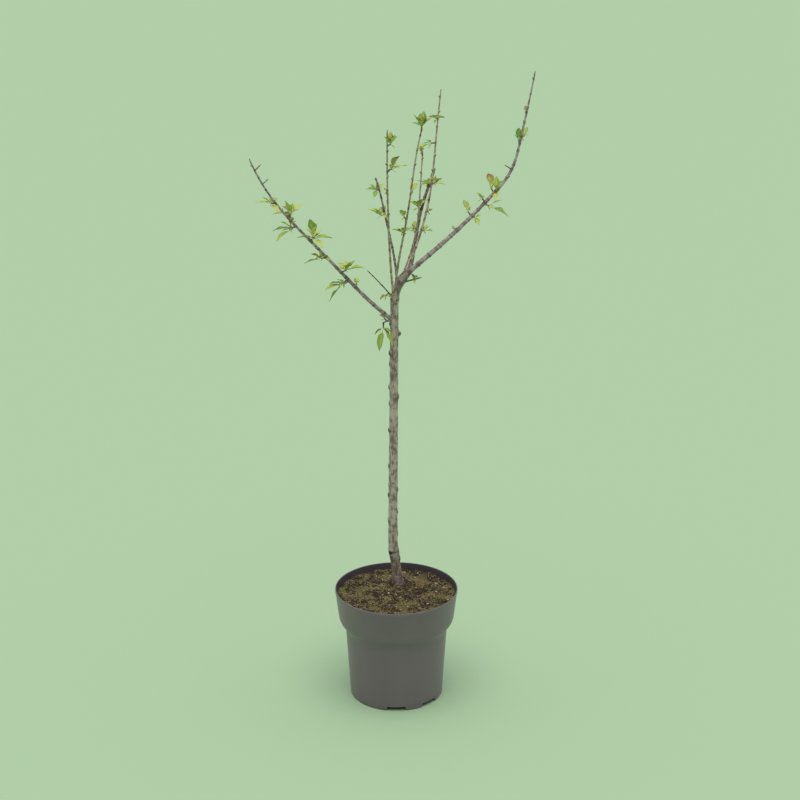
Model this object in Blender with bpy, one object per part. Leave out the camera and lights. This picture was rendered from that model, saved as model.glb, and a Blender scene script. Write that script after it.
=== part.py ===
"""Potted sweet cherry tree: a grafted young standard in a nursery pot, about 1.1 m tall.

Pot, soil, trunk, one bough for each limb and one mass of leafy shoot at the end of each bough.
Metres, +Z up. The origin is the centre of the pot's flat underside, and -Y is the front.
Headings are given as an azimuth (0 is +X, 90 is +Y) and a lean from straight up, in degrees.
"""
import math
import random

import bmesh
import bpy
from mathutils import Vector

MM = 0.001
GAP = 0.3 * MM
UP = Vector((0, 0, 1))
GOLDEN_ANGLE = 137.508

# Pot
RIM_RADIUS = 0.110
POT_HEIGHT = 0.2044
BASE_RADIUS = 0.0833
NECK_HEIGHT = 0.1265
NECK_RADIUS = 0.0912
COLLAR_HEIGHT = 0.151
COLLAR_RADIUS = 0.1036
WALL = 2.0 * MM
RIM_ROUND = 0.8 * MM
HUB_RADIUS = 0.028
SLOT_HEIGHT = 8 * MM
SLOT_TURNS = (-90, -45, 90, 135)
SLOT_ROOF_ANGLE = 11.0
SLOT_FOOT_ANGLE = 12.6
SLOT_INSIDE_ANGLE = 15.0
SECTORS = 48
SOIL_FOOT_ANGLE = 22.5

# Soil
SOIL_LEVEL = 0.1925
SEAT_HEIGHT = 0.2012
SEAT_RADIUS = 0.015
MOUND_RADIUS = 0.062
SOIL_WAVE = 0.8 * MM
SOIL_RIPPLES = (75, 62, 140, 90)
SOIL_RINGS = (0.82, 0.62, 0.42)

# Trunk, measured along its own axis from the soil
TRUNK_FOOT = Vector((0.0034, 0.0250, SEAT_HEIGHT + GAP))
TRUNK_LENGTH = 0.604
TRUNK_CROOK_LEAN = -7.5
TRUNK_CROOK_END = 0.080
TRUNK_LEAN = 0.45
TRUNK_FORE_LEAN = -2.2
FORK_START = 0.524
FORK_RUN = 0.082
FORK_LEAN = 46.0
TRUNK_FOOT_RADIUS = 8.7 * MM
TRUNK_TAPER = 3.3 * MM
ROOT_FLARE = 3.0 * MM
ROOT_FLARE_HEIGHT = 0.012
# Swellings all the way round: along the trunk, how much, and how long
TRUNK_SWELLINGS = ((0.066, 0.9 * MM, 0.014), (0.541, 0.9 * MM, 0.005), (0.576, 1.6 * MM, 0.015))
KNOB_START = 0.586
KNOB_TAPER = 1.9 * MM
# Knots of cut spurs: along the trunk, azimuth, how much
TRUNK_KNOTS = (
    (0.050, 0, 1.3 * MM), (0.066, 225, 1.4 * MM), (0.099, 10, 1.2 * MM), (0.127, 170, 1.1 * MM),
    (0.143, 350, 1.0 * MM), (0.176, 195, 1.3 * MM), (0.186, 20, 1.2 * MM), (0.195, 160, 1.0 * MM),
    (0.232, 190, 1.2 * MM), (0.268, 280, 0.9 * MM), (0.301, 200, 2.4 * MM), (0.322, 80, 1.5 * MM),
    (0.350, 175, 1.3 * MM), (0.363, 355, 1.5 * MM), (0.381, 185, 2.6 * MM), (0.405, 100, 1.8 * MM),
    (0.424, 190, 1.4 * MM), (0.444, 195, 2.4 * MM), (0.479, 350, 4.6 * MM), (0.497, 200, 1.6 * MM),
)
KNOT_SIZE = 5.0 * MM
TRUNK_SIDES = 12
TRUNK_RING_STEP = 0.016
LEAST_RING_STEP = 1.2 * MM
BIG_KNOT = 1.25 * MM
KNOT_SHOULDER = 3.5 * MM

# Limbs: each is a bare bough and then a leafy shoot along one curve that starts in the trunk.
# rise: where along the trunk. out: how far its heart starts from the trunk's, towards its azimuth.
# azimuth, lean and radius: at the foot and at the tip, turning over the part "turn" of its length.
# sway: how many degrees the lean swings, how often over the length, and from which part of a swing.
# spurs: leaf clusters as (mm along the limb, azimuth, lean, number of leaves, leaf length in mm).
LIMBS = {
    "left": dict(
        rise=0.501, out=0.0, azimuth=(194, 212), lean=(53.9, 26.3), length=0.392, bare=0.084,
        radius=(3.6 * MM, 1.2 * MM), turn=(0.0, 1.0), sway=(-8.0, 1.0, 0.05),
        spurs=((94, 88, 60, 1, 20), (111, 207, 92, 1, 38), (115, 168, 138, 1, 40), (132, 342, 68, 4, 35),
               (171, 165, 100, 3, 32), (209, 242, 14, 1, 42), (213, 26, 88, 3, 34), (248, 162, 94, 1, 36),
               (251, 218, 110, 1, 34), (254, 129, 59, 2, 26), (267, 227, 19, 1, 32), (271, 45, 57, 2, 33),
               (304, 159, 82, 3, 30), (345, 40, 60, 0, 0), (372, 20, 30, 0, 0)),
    ),
    "right": dict(
        rise=0.592, out=0.0, azimuth=(8, 36), lean=(49.4, 12.3), length=0.415, bare=0.100,
        radius=(4.4 * MM, 1.2 * MM), turn=(0.48, 0.71), sway=(-1.8, 1.37, 0.63),
        spurs=((109, 100, 89, 1, 16), (145, 113, 42, 1, 30), (148, 287, 104, 2, 22), (176, 328, 100, 1, 40),
               (179, 120, 62, 2, 22), (200, 103, 38, 1, 36), (203, 311, 37, 2, 28), (206, 258, 103, 1, 24),
               (250, 200, 50, 0, 0), (295, 266, 14, 1, 28), (299, 59, 44, 1, 30), (347, 87, 50, 1, 14)),
    ),
    "leader": dict(
        rise=0.590, out=0.0, azimuth=(29, 64), lean=(19.8, 9.5), length=0.313, bare=0.068,
        radius=(2.3 * MM, 1.1 * MM), turn=(0.0, 1.0), sway=(-4.4, 1.1, 0.58),
        spurs=((78, 307, 73, 2, 24), (110, 63, 80, 1, 16), (157, 54, 70, 4, 28), (227, 210, 100, 1, 32),
               (266, 249, 60, 3, 18)),
    ),
    "rough": dict(
        rise=0.600, out=0.0, azimuth=(74, 59), lean=(30.9, 35.7), length=0.186, bare=0.052,
        radius=(3.0 * MM, 2.3 * MM), turn=(0.0, 1.0), sway=(5.5, 1.28, 0.28),
        spurs=((61, 91, 40, 2, 26), (107, 225, 47, 5, 28), (152, 256, 51, 3, 24)),
    ),
    "pale": dict(
        rise=0.574, out=0.0, azimuth=(326, 288), lean=(20.5, 5.7), length=0.237, bare=0.090,
        radius=(1.6 * MM, 1.0 * MM), turn=(0.0, 1.0), sway=(3.3, 1.27, 0.0),
        spurs=((150, 290, 50, 1, 14), (232, 100, 40, 2, 14)),
    ),
    "front": dict(
        rise=0.5395, out=0.004, azimuth=(275, 313), lean=(26.1, 15.7), length=0.336, bare=0.132,
        radius=(2.1 * MM, 1.1 * MM), turn=(0.0, 1.0), sway=(4.6, 1.3, 0.82),
        spurs=((151, 255, 64, 3, 24), (176, 248, 37, 1, 26), (223, 70, 60, 1, 26), (334, 77, 32, 7, 33)),
    ),
    "left_front": dict(
        rise=0.5375, out=0.004, azimuth=(261, 272), lean=(30.4, 20.2), length=0.354, bare=0.180,
        radius=(2.1 * MM, 1.1 * MM), turn=(0.0, 1.0), sway=(-2.6, 1.29, 0.83),
        spurs=((235, 102, 80, 1, 16), (279, 328, 30, 1, 33), (282, 28, 75, 1, 31), (328, 308, 40, 5, 26)),
    ),
    "left_back": dict(
        rise=0.563, out=0.0, azimuth=(99, 116), lean=(37.6, 40.5), length=0.206, bare=0.104,
        radius=(2.1 * MM, 1.6 * MM), turn=(0.0, 1.0), sway=(5.9, 1.37, 0.72),
        spurs=((134, 148, 65, 4, 30), (183, 125, 80, 6, 26)),
    ),
    "hanging_spur": dict(
        rise=0.503, out=0.0, azimuth=(215, 222), lean=(82, 100), length=0.026, bare=0.0,
        radius=(1.8 * MM, 1.0 * MM), turn=(0.0, 1.0), sway=(0.0, 1.0, 0.0),
        spurs=((15, 130, 70, 1, 17), (24, 235, 160, 2, 38)),
    ),
    "thin_twig": dict(
        rise=0.539, out=0.0, azimuth=(209, 189), lean=(38.1, 43.7), length=0.072, bare=0.0,
        radius=(1.3 * MM, 0.8 * MM), turn=(0.0, 1.0), sway=(0.0, 1.0, 0.0),
        spurs=((18, 225, 100, 2, 15),),
    ),
    "short_spur": dict(
        rise=0.5705, out=0.0, azimuth=(13, 14), lean=(78.9, 79.2), length=0.037, bare=0.0,
        radius=(1.8 * MM, 1.1 * MM), turn=(0.0, 1.0), sway=(0.0, 1.0, 0.0),
        spurs=((25, 273, 60, 4, 14),),
    ),
}
WALK_STEP = 2 * MM
BRANCH_COLLAR = 1.2 * MM
BRANCH_COLLAR_RUN = 9 * MM
LIMB_RING_STEP = 16 * MM
BOUGH_SIDES = 8
SHOOT_SIDES = 6

# Buds along every limb
BUD_STEP = 24 * MM
BUD_LENGTH = 4.2 * MM
BUD_RADIUS = 1.1 * MM
BUD_SPREAD = 38.0

# Leaf spurs and leaves
SPUR_LENGTH = 7 * MM
SPUR_RADIUS = (1.35 * MM, 1.0 * MM)
SPUR_SQUARENESS = 0.6
BARE_SPUR_LENGTH = 15 * MM
LEAF_SEAT = 0.4 * MM
LEAF_SLENDER = 0.30
LEAF_THICKNESS = 0.5 * MM
STALK_HALF_WIDTH = 0.5 * MM
LEAF_FOLD = 0.34
LEAF_DROOP = 0.16
LEAF_SINK = 1.8 * MM
# Blade: part of the leaf's length and part of its half width
LEAF_STATIONS = ((0.24, 0.0), (0.42, 0.88), (0.66, 0.92))
LEAF_LEAN_SPREAD = 26.0
LEAF_SHRINK = 0.07
LEAF_CLEARANCE = 4.5 * MM
LIMB_CLEARANCE = 3.5 * MM
ROOM_STEP = 6 * MM
LEAF_TURNS = (0, 35, -35, 70, -70, 110)

COLOURS = {
    "pot": ((0.105, 0.105, 0.108), 0.48),
    "soil": ((0.060, 0.048, 0.022), 0.95),
    "bark": ((0.150, 0.130, 0.112), 0.75),
    "shoot": ((0.245, 0.365, 0.075), 0.50),
}


def heading(azimuth, lean):
    """The direction of an azimuth and a lean from straight up, in degrees."""
    a = math.radians(azimuth)
    b = math.radians(lean)
    return Vector((math.sin(b) * math.cos(a), math.sin(b) * math.sin(a), math.cos(b)))


def ease(value, start, end):
    """0 before start, 1 after end, and a smooth step between them."""
    t = min(max((value - start) / (end - start), 0.0), 1.0)
    return t * t * (3 - 2 * t)


def mix(pair, t):
    return pair[0] + (pair[1] - pair[0]) * t


def bell(distance, size):
    return math.exp(-((distance / size) ** 2))


class Axis:
    """A curve walked in short steps: at() gives the point and direction at a length along it."""

    def __init__(self, start, length, direction_at):
        steps = round(length / WALK_STEP)
        self.length = length
        self.step = length / steps
        self.points = [Vector(start)]
        self.directions = []
        for i in range(steps):
            direction = direction_at((i + 0.5) * self.step)
            self.directions.append(direction)
            self.points.append(self.points[-1] + direction * self.step)

    def at(self, along):
        place = min(max(along, 0.0), self.length) / self.step
        i = min(int(place), len(self.directions) - 1)
        return self.points[i] + self.directions[i] * (place - i) * self.step, self.directions[i]


def trunk_direction(along):
    crook_left = 1 - ease(along, 0.6 * TRUNK_CROOK_END, 1.4 * TRUNK_CROOK_END)
    lean = TRUNK_LEAN + TRUNK_CROOK_LEAN * crook_left
    lean += (FORK_LEAN - TRUNK_LEAN) * ease(along, FORK_START, FORK_START + FORK_RUN)
    x = math.sin(math.radians(lean))
    y = math.sin(math.radians(TRUNK_FORE_LEAN))
    return Vector((x, y, math.sqrt(1 - x * x - y * y)))


def trunk_radius(along, azimuth):
    radius = TRUNK_FOOT_RADIUS - TRUNK_TAPER * along
    radius += ROOT_FLARE * math.exp(-along / ROOT_FLARE_HEIGHT)
    radius += sum(swell * bell(along - where, size) for where, swell, size in TRUNK_SWELLINGS)
    radius -= KNOB_TAPER * ease(along, KNOB_START, TRUNK_LENGTH)
    for where, facing, swell in TRUNK_KNOTS:
        off = math.radians((azimuth - facing + 180) % 360 - 180) * radius
        radius += swell * bell(math.hypot(along - where, off), KNOT_SIZE)
    return radius


def limb_axis(limb, trunk):
    start = trunk.at(limb["rise"])[0] + heading(limb["azimuth"][0], 90) * limb["out"]
    swing, waves, phase = limb["sway"]

    def direction_at(along):
        t = along / limb["length"]
        lean = mix(limb["lean"], ease(t, *limb["turn"]))
        lean += swing * math.sin(2 * math.pi * (waves * t + phase))
        return heading(mix(limb["azimuth"], t), lean)

    return Axis(start, limb["length"], direction_at)


def limb_radius(limb, along):
    radius = mix(limb["radius"], along / limb["length"])
    return radius + BRANCH_COLLAR * math.exp(-along / BRANCH_COLLAR_RUN) * (limb["bare"] > 0)


def side_and_front(direction, reference):
    """Two directions square to the first, the first of them as near to the reference as can be."""
    side = (reference - direction * reference.dot(direction)).normalized()
    return side, direction.cross(side)


def new_object(name, bm, colour_name):
    bmesh.ops.recalc_face_normals(bm, faces=bm.faces)
    mesh = bpy.data.meshes.new(name)
    bm.to_mesh(mesh)
    bm.free()
    obj = bpy.data.objects.new(name, mesh)
    bpy.context.scene.collection.objects.link(obj)
    mesh.materials.append(MATERIALS[colour_name])
    return obj


def smooth(obj, angle=50):
    obj.data.shade_smooth()
    obj.data.set_sharp_from_angle(angle=math.radians(angle))


def skin(bm, rings, pointed=False):
    """Joins rings of points into a closed skin. A pointed skin's last ring is one point."""
    rows = [[bm.verts.new(point) for point in ring] for ring in rings]
    for low, high in zip(rows, rows[1:]):
        count = len(low)
        for i in range(count):
            j = (i + 1) % count
            if len(high) == 1:
                bm.faces.new((low[i], low[j], high[0]))
            else:
                bm.faces.new((low[i], low[j], high[j], high[i]))
    bm.faces.new(reversed(rows[0]))
    if not pointed:
        bm.faces.new(rows[-1])
    return rows


def tube_rings(axis, alongs, radius_at, sides, reference):
    """Rings of points round an axis. radius_at takes the length along it and the azimuth."""
    rings = []
    for along in alongs:
        centre, direction = axis.at(along)
        side, front = side_and_front(direction, reference)
        ring = []
        for i in range(sides):
            turn = 2 * math.pi * i / sides
            reach = side * math.cos(turn) + front * math.sin(turn)
            ring.append(centre + reach * radius_at(along, math.degrees(turn)))
        rings.append(ring)
    return rings


def stations(start, end, step):
    count = max(2, round((end - start) / step) + 1)
    return [start + (end - start) * i / (count - 1) for i in range(count)]


def apply_boolean(obj, others, operation):
    """Joins or cuts the object by the others, keeps the result and removes the others."""
    group = bpy.data.collections.new("operands")
    for other in others:
        group.objects.link(other)
    modifier = obj.modifiers.new("join", "BOOLEAN")
    modifier.operation = operation
    modifier.operand_type = "COLLECTION"
    modifier.collection = group
    modifier.solver = "EXACT"
    bpy.context.view_layer.update()
    result = bpy.data.meshes.new_from_object(obj.evaluated_get(bpy.context.evaluated_depsgraph_get()))
    obj.modifiers.clear()
    obj.data = result
    for other in others:
        bpy.data.objects.remove(other)
    bpy.data.collections.remove(group)


def pot_radius(z):
    """The outer radius of the pot's body below its neck."""
    return mix((BASE_RADIUS, NECK_RADIUS), z / NECK_HEIGHT)


def slot_share(angle, roof, foot):
    """1 over a drain slot, 0 beside it."""
    off = min(abs((angle - turn + 180) % 360 - 180) for turn in SLOT_TURNS)
    return min(max((foot - off) / (foot - roof), 0.0), 1.0)


def sector_angles():
    """Even sectors, with the edges of each drain slot between them."""
    angles = [i * 360 / SECTORS for i in range(SECTORS)]
    for turn in SLOT_TURNS:
        for edge in (SLOT_ROOF_ANGLE, SLOT_FOOT_ANGLE):
            angles += [(turn - edge) % 360, (turn + edge) % 360]
    return sorted(angles)


def floor_height(angle):
    """How high the pot's inner floor stands, over its feet and over its drain slots."""
    return WALL + SLOT_HEIGHT * slot_share(angle, SLOT_FOOT_ANGLE, SLOT_INSIDE_ANGLE)


def wall_profile():
    """The pot's outer wall from the neck to just under the rim."""
    return (
        (NECK_RADIUS, NECK_HEIGHT),
        (NECK_RADIUS + 2.6 * MM, NECK_HEIGHT + 7.5 * MM),
        (COLLAR_RADIUS - 2.8 * MM, COLLAR_HEIGHT - 8 * MM),
        (COLLAR_RADIUS, COLLAR_HEIGHT),
    )


def ring(angle_radius_height):
    return [
        Vector((r * math.cos(math.radians(a)), r * math.sin(math.radians(a)), z))
        for a, r, z in angle_radius_height
    ]


def closed_turning(bm, rings, first, last):
    """A skin over rings, closed by a fan to a point at each end."""
    rows = [[bm.verts.new(point) for point in points] for points in rings]
    for low, high in zip(rows, rows[1:]):
        for i in range(len(low)):
            j = (i + 1) % len(low)
            bm.faces.new((low[i], low[j], high[j], high[i]))
    for row, point in ((rows[0], first), (rows[-1], last)):
        tip = bm.verts.new(point)
        for i in range(len(row)):
            bm.faces.new((row[i], row[(i + 1) % len(row)], tip))


def make_pot(angles):
    def under(a):
        return SLOT_HEIGHT * slot_share(a, SLOT_ROOF_ANGLE, SLOT_FOOT_ANGLE)

    rings = [
        ring((a, HUB_RADIUS, 0.0) for a in angles),
        ring((a, HUB_RADIUS + WALL, under(a)) for a in angles),
        ring((a, pot_radius(under(a)), under(a)) for a in angles),
    ]
    rings += [ring((a, r, z) for a in angles) for r, z in wall_profile()]
    rim = (
        (RIM_RADIUS, POT_HEIGHT - RIM_ROUND),
        (RIM_RADIUS - 0.4 * RIM_ROUND, POT_HEIGHT),
        (RIM_RADIUS - WALL + 0.4 * RIM_ROUND, POT_HEIGHT),
        (RIM_RADIUS - WALL, POT_HEIGHT - RIM_ROUND),
    )
    rings += [ring((a, r, z) for a in angles) for r, z in rim]
    rings += [ring((a, r - WALL, z) for a in angles) for r, z in reversed(wall_profile())]
    rings += [
        ring((a, pot_radius(floor_height(a)) - WALL, floor_height(a)) for a in angles),
        ring((a, HUB_RADIUS, floor_height(a)) for a in angles),
        ring((a, HUB_RADIUS - WALL, WALL) for a in angles),
    ]
    bm = bmesh.new()
    closed_turning(bm, rings, Vector((0, 0, 0)), Vector((0, 0, WALL)))
    pot = new_object("pot", bm, "pot")
    smooth(pot, 30)


def soil_height(point):
    """The soil's surface: gently uneven, and heaped round the trunk's flat foot."""
    off = math.hypot(point.x - TRUNK_FOOT.x, point.y - TRUNK_FOOT.y)
    level = ease(off, SEAT_RADIUS, MOUND_RADIUS)
    a, b, c, d = SOIL_RIPPLES
    waves = math.sin(a * point.x + 1) * math.cos(b * point.y) + math.sin(c * point.y - d * point.x)
    return SEAT_HEIGHT + (SOIL_LEVEL - SEAT_HEIGHT) * level + SOIL_WAVE * waves * level


def make_soil(angles):
    def under(a):
        return WALL + GAP + SLOT_HEIGHT * slot_share(a, SLOT_INSIDE_ANGLE, SOIL_FOOT_ANGLE)

    soil_edge = mix((COLLAR_RADIUS, RIM_RADIUS), (SOIL_LEVEL - COLLAR_HEIGHT) / (POT_HEIGHT - COLLAR_HEIGHT))
    inset = WALL + GAP
    rings = [
        ring((a, HUB_RADIUS - WALL, WALL + GAP) for a in angles),
        ring((a, HUB_RADIUS, under(a)) for a in angles),
        ring((a, pot_radius(under(a)) - inset - 0.1 * MM, under(a)) for a in angles),
    ]
    rings += [ring((a, r - inset, z) for a in angles) for r, z in wall_profile()]
    edge = ring((a, soil_edge - inset - 0.3 * MM, 0.0) for a in angles)
    centre = Vector((TRUNK_FOOT.x, TRUNK_FOOT.y, 0))
    tops = [[centre + (point - centre) * part for point in edge] for part in (1.0, *SOIL_RINGS)]
    tops.append([centre + (point - centre).normalized() * SEAT_RADIUS for point in edge])
    for points in tops:
        for point in points:
            point.z = soil_height(point)
    bm = bmesh.new()
    closed_turning(bm, rings + tops, Vector((0, 0, WALL + GAP)), centre + UP * SEAT_HEIGHT)
    smooth(new_object("soil", bm, "soil"))


def trunk_object(name, trunk, grown=0.0):
    """The trunk's closed skin, or with grown a thicker copy for cutting its neighbours clear."""
    alongs = stations(0, TRUNK_LENGTH, TRUNK_RING_STEP)
    for where, _, swell in TRUNK_KNOTS:
        alongs += [where - KNOT_SHOULDER, where, where + KNOT_SHOULDER] if swell > BIG_KNOT else [where]
    alongs += [ROOT_FLARE_HEIGHT * part for part in (0.25, 0.6)]
    alongs = sorted(alongs)
    alongs = [a for a, b in zip(alongs, alongs[1:]) if b - a > LEAST_RING_STEP] + [TRUNK_LENGTH]
    rings = tube_rings(trunk, alongs, lambda s, a: trunk_radius(s, a) + grown, TRUNK_SIDES, Vector((1, 0, 0)))
    for point in rings[0]:
        point.z = TRUNK_FOOT.z - grown
    if grown:
        end, direction = trunk.at(TRUNK_LENGTH)
        rings[-1] = [point + direction * grown for point in rings[-1]]
    bm = bmesh.new()
    skin(bm, rings)
    return new_object(name, bm, "bark")


def limb_tube(name, limb, axis, start, end, sides, grown=0.0, pointed=False):
    alongs = stations(start, end, LIMB_RING_STEP)
    rings = tube_rings(axis, alongs, lambda s, a: limb_radius(limb, s) + grown, sides, UP)
    if pointed:
        tip, direction = axis.at(end)
        rings.append([tip + direction * BUD_LENGTH])
    bm = bmesh.new()
    skin(bm, rings, pointed)
    return new_object(name, bm, "bark" if sides == BOUGH_SIDES else "shoot")


def cone(start, direction, length, radii, sides):
    """A small straight stub, pointed where its second radius is 0."""
    side, front = side_and_front(direction, UP if abs(direction.z) < 0.95 else Vector((1, 0, 0)))
    rings = []
    for part, radius in zip((0, 1), radii):
        turns = [2 * math.pi * i / sides for i in range(sides if radius else 1)]
        centre = start + direction * length * part
        rings.append([centre + (side * math.cos(t) + front * math.sin(t)) * radius for t in turns])
    bm = bmesh.new()
    skin(bm, rings, pointed=radii[1] == 0)
    return new_object("stub", bm, "shoot")


def leaf_frame(direction):
    side = direction.cross(UP)
    if side.length < 0.2:
        side = Vector((1, 0, 0)) - direction * direction.x
    side.normalize()
    return side, side.cross(direction)


def leaf_spine(root, direction, length, part):
    return root + direction * length * part - UP * length * LEAF_DROOP * part * part


def leaf_samples(root, direction, length):
    """Points that stand for a leaf where its distance from other things is measured."""
    side = leaf_frame(direction)[0] * length * LEAF_SLENDER / 2
    spine = [leaf_spine(root, direction, length, part) for part in (0.3, 0.5, 0.75, 1.0)]
    return spine + [spine[1] + side, spine[1] - side]


def leaf(root, direction, length):
    """A folded blade on a stalk. Each station is a flat diamond, and the tip is a point."""
    side, normal = leaf_frame(direction)
    half_width = length * LEAF_SLENDER / 2
    thick = LEAF_THICKNESS / 2
    start = root - direction * LEAF_SINK
    places = [(start, STALK_HALF_WIDTH)]
    for part, share in LEAF_STATIONS:
        places.append((leaf_spine(root, direction, length, part), max(half_width * share, STALK_HALF_WIDTH)))
    rings = []
    for centre, half in places:
        edge = normal * (half - STALK_HALF_WIDTH) * LEAF_FOLD
        height = STALK_HALF_WIDTH if half == STALK_HALF_WIDTH else thick
        rings.append([centre - side * half + edge, centre - normal * height,
                      centre + side * half + edge, centre + normal * height])
    rings.append([leaf_spine(root, direction, length, 1.0)])
    bm = bmesh.new()
    skin(bm, rings, pointed=True)
    return new_object("leaf", bm, "shoot")


def clear_of(samples, others, clearance):
    return all((sample - other).length > clearance + room for sample in samples for other, room in others)


def room_round(axis, radius_at):
    """Points along an axis, each with the radius that it takes up."""
    return [(axis.at(s)[0], radius_at(s)) for s in stations(0, axis.length, ROOM_STEP)]


def make_shoot(name, limb, axis, solid_room, taken, cutters, rng):
    """One mass: a stem that goes on from its bough, with spurs, leaves and buds fused to it."""
    start = limb["bare"] + (GAP if limb["bare"] else 0.0)
    shoot = limb_tube("leaves_" + name, limb, axis, start, axis.length, SHOOT_SIDES, pointed=name != "rough")
    if cutters:
        apply_boolean(shoot, cutters, "DIFFERENCE")
    pieces = []
    own_leaves = []
    for along_mm, azimuth, lean, count, length_mm in limb["spurs"]:
        root, along_limb = axis.at(along_mm * MM)
        out = heading(azimuth, lean)
        out = (out - along_limb * out.dot(along_limb) * SPUR_SQUARENESS).normalized()
        thick = limb_radius(limb, along_mm * MM)
        reach = thick + (SPUR_LENGTH if count else BARE_SPUR_LENGTH)
        pieces.append(cone(root, out, reach, SPUR_RADIUS, 4))
        tip = root + out * (reach - LEAF_SEAT)
        for k in range(count):
            length = length_mm * MM * (1 - LEAF_SHRINK * k)
            leaf_lean = lean + (k > 0) * rng.uniform(-LEAF_LEAN_SPREAD, LEAF_LEAN_SPREAD)
            for turn in LEAF_TURNS:
                direction = heading(azimuth + k * GOLDEN_ANGLE + turn, leaf_lean)
                samples = leaf_samples(tip, direction, length)
                if clear_of(samples, solid_room, LIMB_CLEARANCE) and clear_of(samples, taken, LEAF_CLEARANCE):
                    pieces.append(leaf(tip, direction, length))
                    own_leaves += [(sample, 0.0) for sample in samples]
                    break
    for i, along in enumerate(stations(start + BUD_STEP / 2, axis.length - BUD_STEP / 2, BUD_STEP)):
        if axis.length - start < 2 * BUD_STEP or along < start + 2 * BUD_LENGTH:
            continue
        root, along_limb = axis.at(along)
        side, front = side_and_front(along_limb, Vector((1, 0, 0)))
        turn = math.radians(GOLDEN_ANGLE * i)
        out = along_limb * math.cos(math.radians(BUD_SPREAD))
        out += (side * math.cos(turn) + front * math.sin(turn)) * math.sin(math.radians(BUD_SPREAD))
        length = BUD_LENGTH + limb_radius(limb, along) / math.sin(math.radians(BUD_SPREAD))
        pieces.append(cone(root, out, length, (BUD_RADIUS, 0), 4))
    apply_boolean(shoot, pieces, "UNION")
    smooth(shoot, 35)
    taken += own_leaves
    print(shoot.name, len(own_leaves) // 6, "leaves", len(shoot.data.polygons), "faces")


def make_tree():
    trunk = Axis(TRUNK_FOOT, TRUNK_LENGTH, trunk_direction)
    smooth(trunk_object("trunk", trunk))
    axes = {name: limb_axis(limb, trunk) for name, limb in LIMBS.items()}
    trunk_room = room_round(trunk, lambda s: trunk_radius(s, 0))
    rng = random.Random(7)
    taken = []
    for name, limb in LIMBS.items():
        axis = axes[name]
        earlier = [other for other in LIMBS if LIMBS[other]["bare"] and other != name]
        earlier = earlier[: list(LIMBS).index(name)]
        cutters = [trunk_object("clear trunk", trunk, GAP)]
        for other in earlier:
            cutters.append(limb_tube("clear " + other, LIMBS[other], axes[other], 0, LIMBS[other]["bare"],
                                     BOUGH_SIDES, GAP))
        if limb["bare"]:
            bough = limb_tube("bough_" + name, limb, axis, 0.0, limb["bare"], BOUGH_SIDES)
            apply_boolean(bough, cutters, "DIFFERENCE")
            smooth(bough)
            cutters = []
        solid_room = list(trunk_room)
        for other in LIMBS:
            if other != name:
                solid_room += room_round(axes[other], lambda s, o=other: limb_radius(LIMBS[o], s))
        make_shoot(name, limb, axis, solid_room, taken, cutters, rng)


def plain_material(name, colour, roughness):
    material = bpy.data.materials.new(name)
    material.use_nodes = True
    shader = material.node_tree.nodes["Principled BSDF"]
    shader.inputs["Base Color"].default_value = (*colour, 1.0)
    shader.inputs["Roughness"].default_value = roughness
    shader.inputs["Metallic"].default_value = 0.0
    material.diffuse_color = (*colour, 1.0)
    return material


for startup_object in list(bpy.data.objects):
    bpy.data.objects.remove(startup_object)
MATERIALS = {name: plain_material(name, *values) for name, values in COLOURS.items()}
ANGLES = sector_angles()
make_pot(ANGLES)
make_soil(ANGLES)
make_tree()
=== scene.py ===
# %% [markdown]
# A young grafted cherry tree in a nursery pot, one and a tenth metres tall. A fixed solid model gives its
# size and its parts, and this script builds the finished pieces around it. Lengths are in metres, up is +Z,
# and -Y is the front.

import math
import random

import bpy
from mathutils import Matrix, Vector, noise


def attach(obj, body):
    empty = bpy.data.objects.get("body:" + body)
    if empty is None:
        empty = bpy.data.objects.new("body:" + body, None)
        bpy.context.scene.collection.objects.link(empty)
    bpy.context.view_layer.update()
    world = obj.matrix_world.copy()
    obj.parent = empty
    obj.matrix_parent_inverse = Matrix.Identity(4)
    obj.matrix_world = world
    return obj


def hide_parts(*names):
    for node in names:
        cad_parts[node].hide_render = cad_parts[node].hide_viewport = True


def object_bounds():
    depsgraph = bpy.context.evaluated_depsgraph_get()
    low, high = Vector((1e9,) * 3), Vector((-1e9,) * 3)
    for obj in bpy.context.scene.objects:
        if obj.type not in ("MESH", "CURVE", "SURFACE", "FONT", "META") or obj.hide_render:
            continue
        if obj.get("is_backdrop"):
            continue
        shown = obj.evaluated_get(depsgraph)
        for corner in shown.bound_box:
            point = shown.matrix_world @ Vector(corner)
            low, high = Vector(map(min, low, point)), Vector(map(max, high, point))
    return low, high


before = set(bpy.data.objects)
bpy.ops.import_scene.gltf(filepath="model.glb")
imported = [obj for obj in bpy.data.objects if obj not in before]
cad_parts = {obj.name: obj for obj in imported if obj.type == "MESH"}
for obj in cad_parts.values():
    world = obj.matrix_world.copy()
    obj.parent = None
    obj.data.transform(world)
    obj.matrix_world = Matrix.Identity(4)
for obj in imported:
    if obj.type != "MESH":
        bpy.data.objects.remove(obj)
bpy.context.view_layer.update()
MM = 0.001
GAP = 0.3 * MM
UP, RIGHT = Vector((0, 0, 1)), Vector((1, 0, 0))

# %% [markdown]
# A finish is a set of nodes. They could be joined by hand in the editor, but one small function that adds a
# node with its settings and links lets each material read like a recipe. Colours are written as sRGB hex
# codes, as in a paint program, and turned to linear light in one place.

# %% Tools for nodes and colours
def linear(code):
    """The linear light of an sRGB hex colour."""
    parts = [int(code[i:i + 2], 16) / 255 for i in (1, 3, 5)]
    return (*[c / 12.92 if c <= 0.04045 else ((c + 0.055) / 1.055) ** 2.4 for c in parts], 1.0)


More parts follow.
